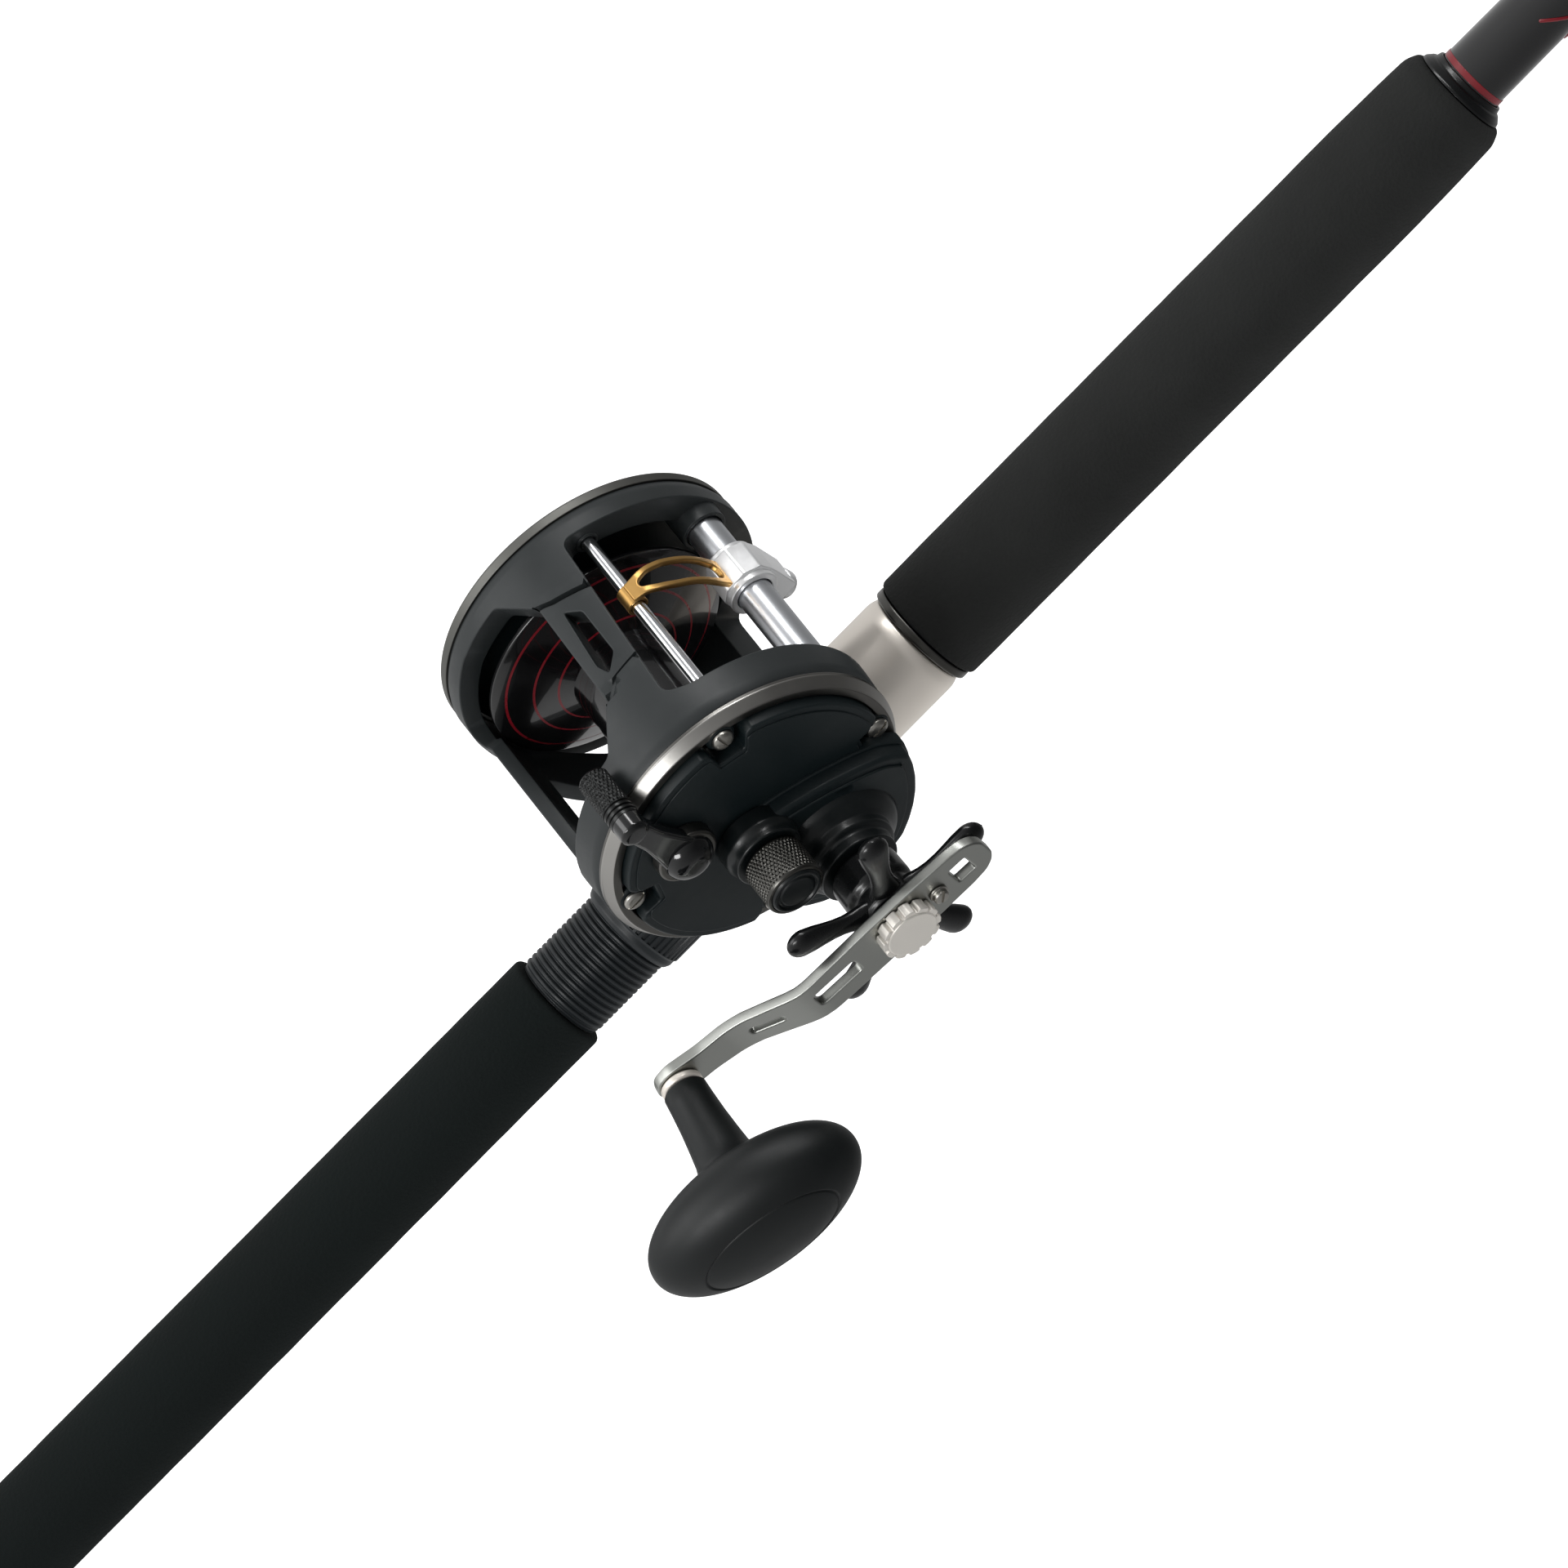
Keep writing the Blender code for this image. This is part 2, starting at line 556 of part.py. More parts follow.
def gear(name, teeth, centre, y0, y1, bore, phase=0.0):
    """A spur gear with short, narrow teeth, so that it meshes with play."""
    pitch_r = MODULE * teeth / 2
    root, tip = pitch_r - TOOTH_HEIGHT, pitch_r + TOOTH_HEIGHT / 2
    pitch = 360.0 / teeth
    outline = []
    for tooth in range(teeth):
        angle = phase + tooth * pitch
        outline += [ring_point(root, angle - 0.20 * pitch), ring_point(tip, angle),
                    ring_point(root, angle + 0.20 * pitch)]
    return section(name, [outline, arc(bore, 360, 30, 12)], y0, y1, centre)


def direction(start, end):
    return math.degrees(math.atan2(end[1] - start[1], end[0] - start[0]))


def half_tooth(teeth):
    return 180.0 / teeth


def make_spool():
    flare = [(SPOOL_FLANGE_R, 25.6), (SPOOL_FLANGE_R, 24.0), (20.0, 19.4), (13.5, 17.0)]
    mirrored = [(r, -y) for r, y in reversed(flare)]
    bore = 3.0 + GAP
    profile = [(bore, 28.0), (7.0, 28.0), (8.5, 24.4), (30.0, 24.4)] + flare
    profile += mirrored + [(30.0, -24.4), (8.5, -24.4), (7.0, -28.0), (bore, -28.0)]
    finish(turned("spool", profile, reel(*SPOOL_C), Y_AXIS, 28), GLOSS_BLACK)
    finish(pin("spool_shaft", SPOOL_C, 3.0, -57.0, 40.2, steps=16), STEEL)
    pinion = gear("pinion_gear", PINION_TEETH, SPOOL_C, -48.6, -31.4, 3.0 + GAP, direction(SPOOL_C, CRANK_C))
    finish(pinion, BRASS)
    for name, y0, y1 in (("left_bearing", 34.6, 38.2), ("right_bearing", -52.8, -49.3)):
        finish(sleeve(name, SPOOL_C, 5.3, 3.0 + GAP, y0, y1, steps=20), STEEL)


def make_gear_train():
    to_spool = direction(CRANK_C, SPOOL_C)
    phase = to_spool + half_tooth(DRIVE_TEETH)
    drive = gear("drive_gear", DRIVE_TEETH, CRANK_C, -48.0, -44.6, 3.5 + GAP, phase)
    finish(drive, BRASS)
    pinion_phase = direction(SPOOL_C, CRANK_C)
    to_idler = direction(SPOOL_C, IDLER_C)
    pinion_pitch = 360.0 / PINION_TEETH
    # the pinion's tooth nearest the line of centres, as a share of its pitch
    offset = ((to_idler - pinion_phase) / pinion_pitch) % 1.0
    idler_pitch = 360.0 / IDLER_TEETH
    idler_phase = to_idler + 180.0 + half_tooth(IDLER_TEETH) + offset * idler_pitch
    finish(gear("idler_gear", IDLER_TEETH, IDLER_C, -33.8, -31.6, 1.5 + GAP, idler_phase), BRASS)
    lead = ((to_idler - idler_phase) / idler_pitch) % 1.0
    worm_phase = to_idler + 180.0 + half_tooth(PINION_TEETH) + lead * pinion_pitch
    finish(gear("worm_gear", PINION_TEETH, WORM_C, -33.8, -31.6, 2.0 + GAP, worm_phase), BRASS)


def make_worm_shaft():
    """The level-wind worm, as a plain shaft without its crossed thread."""
    profile = [(0, 30.0), (2.0, 30.0), (2.0, 24.0), (3.1, 23.0), (3.1, -29.5), (2.0, -30.4), (2.0, -36.5),
               (0, -36.5)]
    finish(turned("worm_shaft", profile, reel(*WORM_C), Y_AXIS, 16), STEEL)


def make_carriage():
    """The level-wind carriage on the shield tube with its pawl cap, and the slotted line guide."""
    y = CARRIAGE_Y
    half = 6.5
    carriage = pin("guide_carriage", WORM_C, 8.0, y - half, y + half, steps=28)
    below = Vector((0.35, 0, -0.94))
    cap = [(0, 14.0), (4.0, 14.0), (4.9, 12.8), (4.9, 2.0), (0, 2.0)]
    join(carriage, turned("pawl_cap", cap, reel(*WORM_C, y - 1.5), below, 20))
    cut(carriage, pin("carriage_bore", WORM_C, SHIELD_R + GAP, y - 10, y + 10, steps=28))
    finish(carriage, CHROME)
    guide = section("line_guide", [bail_outline()], y - 4.9, y + 4.9)
    low, high = bail_slot()
    cut(guide, block("bail_slot", (low[0] - 20, y - 2.6, low[1]), (high[0] + 20, y + 2.6, high[1])))
    cut(guide, pin("bail_bore", BAR_C, BAR_R + 0.35, y - 8, y + 8, steps=16),
        pin("bail_seat", WORM_C, 8.0 + GAP, y - 8, y + 8, steps=28))
    finish(guide, GOLD)


def bail_outline():
    """Side view of the line guide: a square sleeve on the bar and an arched strap to the carriage."""
    bx, bz = BAR_C
    half = 3.0
    outer = [(bx + half, bz + half), (bx + 9.2, bz - 1.6), (bx + 14.6, bz - 8.5), (bx + 18.8, bz - 16.5),
             (bx + 20.4, bz - 22.0)]
    inner = [(bx + 14.6, bz - 22.0), (bx + 15.6, bz - 16.6), (bx + 11.8, bz - 9.6), (bx + 7.0, bz - 3.8),
             (bx + half, bz - half)]
    return [(bx - half, bz + half)] + outer + inner + [(bx - half, bz - half)]


def bail_slot():
    bx, bz = REEL_X + BAR_C[0], REEL_Z + BAR_C[1]
    return (bx, bz - 17.6), (bx, bz - 3.6)


def make_drive():
    """The crank shaft and the drag washer."""
    shaft = [(0, -40.0), (3.5, -40.0), (3.5, -82.0), (2.5, -82.0), (2.5, -85.4), (0, -85.4)]
    finish(turned("drive_shaft", shaft, reel(*CRANK_C), Y_AXIS, 20), STEEL)
    finish(sleeve("drag_washer", CRANK_C, 14.0, 3.5 + GAP, -44.3, -43.0), CARBON)


def star_outline():
    """Five rounded arms that swell a little towards their tips."""
    outline = []
    for arm in range(STAR_ARMS):
        angle = STAR_ANGLE + 360.0 * arm / STAR_ARMS
        side = Vector((-math.sin(math.radians(angle)), math.cos(math.radians(angle))))
        along = Vector((math.cos(math.radians(angle)), math.sin(math.radians(angle))))
        for reach, half in ((9, -4.2), (17, -2.9), (26, -3.6), (30, -2.4),
                            (30, 2.4), (26, 3.6), (17, 2.9), (9, 4.2)):
            point = along * reach + side * half
            outline.append((point.x, point.y))
    return outline


def make_star():
    star = section("star_drag", [star_outline()], STAR_Y - 1.9, STAR_Y + 1.9, CRANK_C)
    hub = [(0, -62.0), (8.6, -62.0), (9.6, -63.0), (9.6, STAR_Y - 1.9), (8.2, -78.2), (0, -78.2)]
    join(star, turned("star_hub", hub, reel(*CRANK_C), Y_AXIS, 20))
    cut(star, pin("star_bore", CRANK_C, 3.5 + GAP, -85, -60))
    finish(star, GLOSS_BLACK)


def crank_matrix():
    """The arm's own frame: local +X runs from the crank axis to the knob, +Y towards the rod's left."""
    return Matrix.Translation(reel(*CRANK_C)) @ Matrix.Rotation(math.pi + ARM_RISE, 4, "Y")


def make_handle_arm():
    """A flat steel arm, bent towards the reel and slotted, from two crossed outlines."""
    centre = crank_matrix()
    lower_edge = [(-27, -4.6), (-24, -7.4), (-19, -8.4), (-6, -8.8), (8, -8.6), (40, -7.0), (60, -5.6),
                  (ARM_SWING, -6.2), (ARM_SWING + 4.6, -4.4)]
    upper_edge = [(x, -y) for x, y in reversed(lower_edge)]
    front = lower_edge + [(ARM_SWING + 6.4, 0)] + upper_edge + [(-28.3, 0)]
    slots = [[(15.5, -2.9), (15.5, 2.9), (29, 2.9), (29, -2.9)],
             [(38, -1.5), (38, 1.5), (47, 1.5), (47, -1.5)],
             [(-22.4, -3.4), (-22.4, 3.4), (-17, 3.4), (-17, -3.4)], arc(3.5 + GAP, 360, 18, 20),
             arc(2.6, 360, 24, 15, (ARM_SWING, 0))]
    turn = Matrix.Rotation(math.pi / 2, 4, "X")
    arm = plate("handle_arm", [front] + slots, 34, centre @ Matrix.Translation((0, ARM_Y * MM, 0)) @ turn)
    half = ARM_THICK / 2
    slope = math.tan(KNOB_TILT)
    start, end = ARM_BEND
    middle = [(-32, 0), (start, 0), (end, ARM_JOGGLE), (85, ARM_JOGGLE + (85 - end) * slope)]
    bend = [(x, y + half) for x, y in middle] + [(x, y - half) for x, y in reversed(middle)]
    side_view = plate("arm_bend", [bend], 40, centre @ Matrix.Translation((0, ARM_Y * MM, 0)))
    combine(arm, side_view, "INTERSECT")
    finish(arm, STEEL)


def knob_frame():
    """Origin on the arm's end at the knob's axis, local Z pointing away from the reel."""
    drop = ARM_JOGGLE + (ARM_SWING - ARM_BEND[1]) * math.tan(KNOB_TILT)
    arm = crank_matrix()
    origin = arm @ (Vector((ARM_SWING, ARM_Y + drop, 0)) * MM)
    axis = arm.to_3x3() @ Vector((math.sin(KNOB_TILT), -math.cos(KNOB_TILT), 0))
    return origin, axis


def make_knob():
    origin, axis = knob_frame()
    half = ARM_THICK / 2
    shaft = [(0, 30.0), (2.3, 30.0), (2.3, half + 2.2), (5.6, half + 2.2), (5.6, half + GAP),
             (2.2, half + GAP), (2.2, -half - GAP), (3.8, -half - GAP), (3.2, -half - 1.6), (0, -half - 1.6)]
    finish(turned("knob_shaft", shaft, origin, axis, 16), STEEL)
    start = half + 2.6
    stem = [(0, 46), (8.0, 46), (7.6, 30), (6.0, 14), (5.8, start), (0, start)]
    knob = turned("handle_knob", stem, origin, axis, 20)
    body = knob_body(aligned(origin + axis * 44 * MM, axis))
    join(knob, body)
    cut(knob, turned("knob_bore", [(0, 31), (2.6, 31), (2.6, 0), (0, 0)], origin, axis, 20))
    finish(knob, RUBBER)


def knob_body(place):
    """An oval body, long across the arm's plane of swing."""
    mesh = bpy.data.meshes.new("knob_body")
    work = bmesh.new()
    bmesh.ops.create_uvsphere(work, u_segments=20, v_segments=10, radius=1)
    bmesh.ops.scale(work, vec=Vector((31, 19, 13.4)) * MM, verts=work.verts)
    work.to_mesh(mesh)
    work.free()
    return add("knob_body", mesh, place)


def make_handle_nut():
    """A notched nut, and the screw that locks it to the arm."""
    inner, outer, notches = 7.4, 8.4, 12
    outline = []
    for notch in range(notches):
        angle = 360.0 * notch / notches
        outline += [ring_point(outer, angle - 9), ring_point(outer, angle + 9),
                    ring_point(inner, angle + 12), ring_point(inner, angle + 18)]
    top = ARM_Y - ARM_THICK / 2 - GAP
    nut = section("handle_nut", [outline], top - 4.0, top, CRANK_C)
    cut(nut, pin("nut_bore", CRANK_C, 2.5 + GAP, top - 3.2, top + 5))
    finish(nut, STEEL)
    place = crank_matrix() @ (Vector((-11.4, 0, 0)) * MM)
    profile = [(0, top), (2.4, top), (2.4, top - 1.3), (1.6, top - 1.8), (0, top - 1.8)]
    finish(turned("nut_lock_screw", profile, place, Y_AXIS, 16), STEEL)


def make_lever():
    """Free-spool lever: a hub on the right plate and an arm to a knurled thumb knob over the rim."""
    outer, inner = -50.0, -45.6
    x, z = LEVER_KNOB[0] - LEVER_C[0], LEVER_KNOB[1] - LEVER_C[1]
    outline = arc(7.0, 130, 410, 14)
    outline += [(x + 2.6, z - 8), (x + 3.2, z + 1.5), (x, z + 3.6), (x - 3.2, z + 1.5), (x - 2.6, z - 8)]
    lever = section("freespool_lever", [outline], outer, inner, LEVER_C)
    finish(lever, GLOSS_BLACK)
    knob = [(0, -30.0), (3.2, -30.0), (4.0, -31.0), (4.0, inner + GAP), (0, inner + GAP)]
    finish(turned("lever_knob", knob, reel(*LEVER_KNOB), Y_AXIS, 20), GUNMETAL)


def make_tension_cap():
    """The knurled cap that loads the end of the spool shaft."""
    start, end = -54.8, -67.8
    profile = [(0, start - 3.5), (3.4, start - 3.5), (3.4, start), (7.2, start), (8.2, start - 1.0),
               (8.2, end + 1.2), (7.0, end), (0, end)]
    finish(turned("tension_cap", profile, reel(*SPOOL_C), Y_AXIS, 20), GUNMETAL)


def make_rod():
    make_blank()
    make_grips()
    make_seat()
    make_sliding_hood()
    make_guides()


def make_reel():
    make_frame()
    make_foot()
    for name, side in (("left", 1), ("right", -1)):
        angles = LEFT_SCREWS if side > 0 else RIGHT_SCREWS
        trim_ring(f"{name}_trim_ring", side, angles)
        for number, angle in enumerate(angles, 1):
            cover_screw(f"{name}_screw_{number}", angle, side)
    make_left_cover()
    make_click_button()
    make_right_cover()
    make_level_wind_rails()
    make_spool()
    make_gear_train()
    make_worm_shaft()
    make_carriage()
    make_drive()
    make_star()
    make_handle_arm()
    make_knob()
    make_handle_nut()
    make_lever()
    make_tension_cap()


clear_scene()
PARTS = collection("fishing_rod_and_reel")
TOOLS = collection("cutters")
make_rod()
make_reel()
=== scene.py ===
"""Looks for the fishing rod and reel: detailed pieces, materials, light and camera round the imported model.

Lengths are in millimetres. On the reel's crank side local x, y are the section's x, z and local z points
outwards. On its far side local x is reversed and local z also points outwards. On the rod local z runs
towards the tip.
"""
from math import atan, atan2, ceil, copysign, cos, degrees, exp, hypot, inf, pi, radians, sin, sqrt, tan, tau

import bmesh
import bpy
from mathutils import Matrix, Vector, noise
from mathutils.geometry import delaunay_2d_cdt


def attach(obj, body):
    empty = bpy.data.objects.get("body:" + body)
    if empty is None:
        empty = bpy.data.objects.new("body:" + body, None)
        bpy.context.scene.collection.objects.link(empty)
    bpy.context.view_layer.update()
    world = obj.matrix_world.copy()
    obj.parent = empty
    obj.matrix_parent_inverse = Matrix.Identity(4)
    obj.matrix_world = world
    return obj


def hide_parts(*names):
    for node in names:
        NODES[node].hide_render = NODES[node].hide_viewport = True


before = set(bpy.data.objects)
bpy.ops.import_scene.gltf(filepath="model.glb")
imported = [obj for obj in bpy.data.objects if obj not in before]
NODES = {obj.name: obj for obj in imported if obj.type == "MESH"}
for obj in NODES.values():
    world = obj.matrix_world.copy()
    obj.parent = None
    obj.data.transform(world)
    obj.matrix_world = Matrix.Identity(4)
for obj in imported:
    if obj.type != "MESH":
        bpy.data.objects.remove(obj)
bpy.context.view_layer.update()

MM = 0.001
# The reel: middle of the frame rings along and above the rod, then centres (_C) as (x, z) from that middle.
REEL_X, REEL_Z = 354.1, 60.6
RING_R = 43.5
SPOOL_C, CRANK_C = (-4.0, 0.0), (7.4, -22.3)
WORM_C = (36.124, 5.496)
BAR_C = (16.8, 33.4)
LEVER_C, LEVER_KNOB = (-16.1, 18.6), (-17.2, 45.0)
CLICK_C = (17.0, -12.0)
# Plate screws: distance from the middle, half sizes of a slot, and angles in degrees in the section.
SCREW_R, SCREW_SLOT = 37.2, (4.0, 0.4)
RIGHT_SCREWS = (-17.0, 70.0, 160.5, 243.0)
LEFT_SCREWS = (-10.0, 110.0, 230.0)
# World y of the line guide's middle at rest.
CARRIAGE_Y = 7.0
# The handle: world y of the arm's middle, knob's distance, sideways step and where it lies, and two angles.
ARM_Y, ARM_SWING, ARM_JOGGLE, ARM_BEND = -80.5, 69.0, 7.75, (31.0, 49.0)
ARM_RISE, KNOB_TILT = radians(4.9), radians(6.5)
STAR_Z, STAR_TURN = 75.0, -5.2
SHIELD_BORE = 5.05
# The rod: ends of its parts, then (place, bore radius) of each guide.
ROD_END, GRIP_END, SEAT_END = 1980.0, 601.8, 402.4
GUIDES = ((1040.0, 9.0), (1330.0, 7.0), (1560.0, 5.5), (1745.0, 4.5), (1885.0, 4.0))
TIP_X = 1978.5
WIRE_R, LINING = 0.85, 1.4
X, Y, Z = (1, 0, 0), (0, 1, 0), (0, 0, 1)
OUT, DOWN = (0, -1, 0), (0, 0, -1)


# --- frames ---

def axes(origin, x, y, z):
    """A local frame from its origin in millimetres and its three axes."""
    matrix = Matrix((x, y, z)).transposed().to_4x4()
    matrix.translation = Vector(origin) * MM
    return matrix


def on_reel(centre, y=0.0):
    """A place on the reel from its centre in the section and its world y."""
    return REEL_X + centre[0], y, REEL_Z + centre[1]


def crank_side(centre=(0.0, 0.0)):
    """The frame of what turns or stands out on the crank side."""
    return axes(on_reel(centre), X, Z, OUT)


def far_side(centre=(0.0, 0.0)):
    return axes(on_reel(centre), (-1, 0, 0), Z, Y)


def along_rod(x=0.0, z=0.0):
    return axes((x, 0, z), Y, Z, X)


# --- outlines and profiles ---

def flipped(row):
    """The row backwards on the other side of y = 0."""
    return [(x, -y, *size) for x, y, *size in reversed(row)]


def mirrored(half):
    return half + flipped(half)


def section(inner, outer, low, high):
    """The (r, z) corners of a plain ring."""
    return [(inner, low), (outer, low), (outer, high), (inner, high)]


def polar(radius, angle, centre=(0.0, 0.0)):
    """A point at a distance and an angle in degrees from a centre."""
    turn = radians(angle)
    return centre[0] + radius * cos(turn), centre[1] + radius * sin(turn)


def arc(radius, start, end, count, centre=(0.0, 0.0)):
    """Points evenly round a centre, from one angle to another."""
    return [polar(radius, start + (end - start) * i / (count - 1), centre) for i in range(count)]


def soften(points, size, closed=True, steps=4):
    """Round each corner; a third number on a point is its own size."""
    out = []
    last = len(points) - 1
    for i, point in enumerate(points):
        here = Vector(point[:2])
        reach = point[2] if len(point) > 2 else size
        if reach <= 0 or (not closed and i in (0, last)):
            out.append(here)
            continue
        back, ahead = Vector(points[i - 1][:2]) - here, Vector(points[(i + 1) % len(points)][:2]) - here
        reach = min(reach, back.length * 0.38, ahead.length * 0.38)
        back, ahead = back.normalized() * reach, ahead.normalized() * reach
        out.append(here + back * 1.25)
        for k in range(steps + 1):
            t = k / steps
            out.append(here + back * (1 - t) ** 2 + ahead * t ** 2)
        out.append(here + ahead * 1.25)
    return out


def split(points, step, closed=False):
    """Add points so that no stretch is longer than the step."""
    out = []
    pairs = zip(points, list(points[1:]) + [points[0]]) if closed else zip(points, points[1:])
    for start, end in pairs:
        start, end = Vector(start), Vector(end)
        parts = max(1, ceil((end - start).length / step - 1e-6))
        out += [start.lerp(end, i / parts) for i in range(parts)]
    return out if closed else out + [Vector(points[-1])]


def curve(points, count):
    """A smooth curve through the points."""
    points = [Vector(p) for p in points]
    out = []
    spans = len(points) - 1
    for i in range(count):
        t = spans * i / (count - 1)
        k = min(int(t), spans - 1)
        t -= k
        a, b = points[k], points[k + 1]
        before = points[k - 1] if k else a * 2 - b
        after = points[k + 2] if k + 2 <= spans else b * 2 - a
        out.append(0.5 * (2 * a + (b - before) * t + (2 * before - 5 * a + 4 * b - after) * t * t
            + (3 * a - before - 3 * b + after) * t ** 3))
    return out


def distance(point, line):
    """Distance from a point to a polyline."""
    p, best = Vector(point), inf
    for a, b in zip(line, line[1:]):
        t = min(1.0, max(0.0, (p - a).dot(b - a) / (b - a).length_squared))
        best = min(best, (a + (b - a) * t - p).length)
    return best


def inside(point, loop):
    x, y = point[0], point[1]
    hit = False
    ax, ay = loop[-1][0], loop[-1][1]
    for vertex in loop:
        bx, by = vertex[0], vertex[1]
        if (ay > y) != (by > y) and x < (bx - ax) * (y - ay) / (by - ay) + ax:
            hit = not hit
        ax, ay = bx, by
    return hit


# --- meshes ---

def shaded(mesh, sharp=38.0):
    """Smooth shading that keeps edges sharper than an angle crisp."""
    mesh.shade_smooth()
    mesh.set_sharp_from_angle(angle=radians(sharp))
    return mesh


def placed(name, data, matrix=None):
    """A new object in the scene."""
    obj = bpy.data.objects.new(name, data)
    bpy.context.scene.collection.objects.link(obj)
    if matrix:
        obj.matrix_world = matrix
    return obj


def solid(name, points, faces, matrix=None, sharp=38.0):
    """A mesh object from points in millimetres."""
    mesh = bpy.data.meshes.new(name)
    work = bmesh.new()
    made = [work.verts.new(Vector(p)) for p in points]
    for face in faces:
        work.faces.new([made[i] for i in face])
    bmesh.ops.delete(work, geom=[v for v in work.verts if not v.link_faces], context="VERTS")
    bmesh.ops.remove_doubles(work, verts=work.verts, dist=0.0005)
    bmesh.ops.holes_fill(work, edges=work.edges, sides=0)
    bmesh.ops.recalc_face_normals(work, faces=work.faces)
    bmesh.ops.scale(work, vec=(MM, MM, MM), verts=work.verts)
    work.to_mesh(mesh)
    work.free()
    return placed(name, shaded(mesh, sharp), matrix)


def rings(name, rows, matrix=None, loop=False, **options):
    """Quads between closed rows of points; loop joins the last row to the first."""
    around = len(rows[0])
    points = [p for row in rows for p in row]
    faces = []
    for i in range(len(rows) if loop else len(rows) - 1):
        a, b = i * around, (i + 1) % len(rows) * around
        faces += [(a + k, a + (k + 1) % around, b + (k + 1) % around, b + k) for k in range(around)]
    return solid(name, points, faces, matrix, **options)


def lathe(name, profile, matrix, size=0.35, steps=96, shape=None, step=None, **options):
    """Turn an (r, z) profile about local z. shape(r, z, angle) gives the radius and z at an angle.

    A profile that doesn't start on the axis is a closed section.
    """
    closed = profile[0][0] > 0
    line = soften(profile, size, closed)
    if step:
        line = split(line, step, closed)
    rows = []
    for r, z in line:
        row = []
        for i in range(steps):
            angle = tau * i / steps
            radius, height = shape(r, z, angle) if shape else (r, z)
            row.append((radius * cos(angle), radius * sin(angle), height))
        rows.append(row)
    return rings(name, rows, matrix, closed, **options)


def tube(name, path, radii, matrix=None, sides=20, flat=1.0, up=(0, 0, 1), loop=False, **options):
    """Sweep an ellipse along a path, with rounded ends."""
    path = [Vector(p) for p in path]
    if not isinstance(radii, (list, tuple)):
        radii = [radii] * len(path)
    rows = []

    def row(centre, ahead, radius):
        side = ahead.cross(Vector(up)).normalized()
        rise = side.cross(ahead).normalized()
        return [centre + side * cos(tau * k / sides) * radius + rise * sin(tau * k / sides) * radius * flat
            for k in range(sides)]

    last = len(path) - 1
    for i, centre in enumerate(path):
        before = path[i - 1] if loop else path[max(i - 1, 0)]
        after = path[(i + 1) % len(path)] if loop else path[min(i + 1, last)]
        ahead = (after - before).normalized()
        if not loop and i in (0, last):
            sign = -1 if i == 0 else 1
            turns = [radians(d) for d in ((90, 65, 40, 18) if i == 0 else (0, 18, 40, 65, 90))]
            rows += [row(centre + ahead * sign * sin(t) * radii[i] * 0.8, ahead,
                max(0.001, cos(t) * radii[i])) for t in turns]
            if i == 0:
                rows.append(row(centre, ahead, radii[i]))
        else:
            rows.append(row(centre, ahead, radii[i]))
    return rings(name, rows, matrix, loop, **options)


def mitres(loop, seam):
    """Outward offsets of a loop's corners; points on a seam only move along it."""
    out = []
    for i, here in enumerate(loop):
        normals = []
        for a, b in ((loop[i - 1], here), (here, loop[(i + 1) % len(loop)])):
            d = b - a
            if not (on_seam(a, seam) and on_seam(b, seam)):
                normals.append(Vector((d.y, -d.x)).normalized())
        if on_seam(here, seam):
            normals = [Vector((0, copysign(1, n.y))) for n in normals]
        total = sum(normals, Vector((0, 0)))
        out.append(total / max(0.6, 1 + normals[0].dot(normals[1])) if len(normals) == 2 else total)
    return out


def on_seam(p, seam):
    return any(abs(p.x - u) < 1e-4 for u in seam)


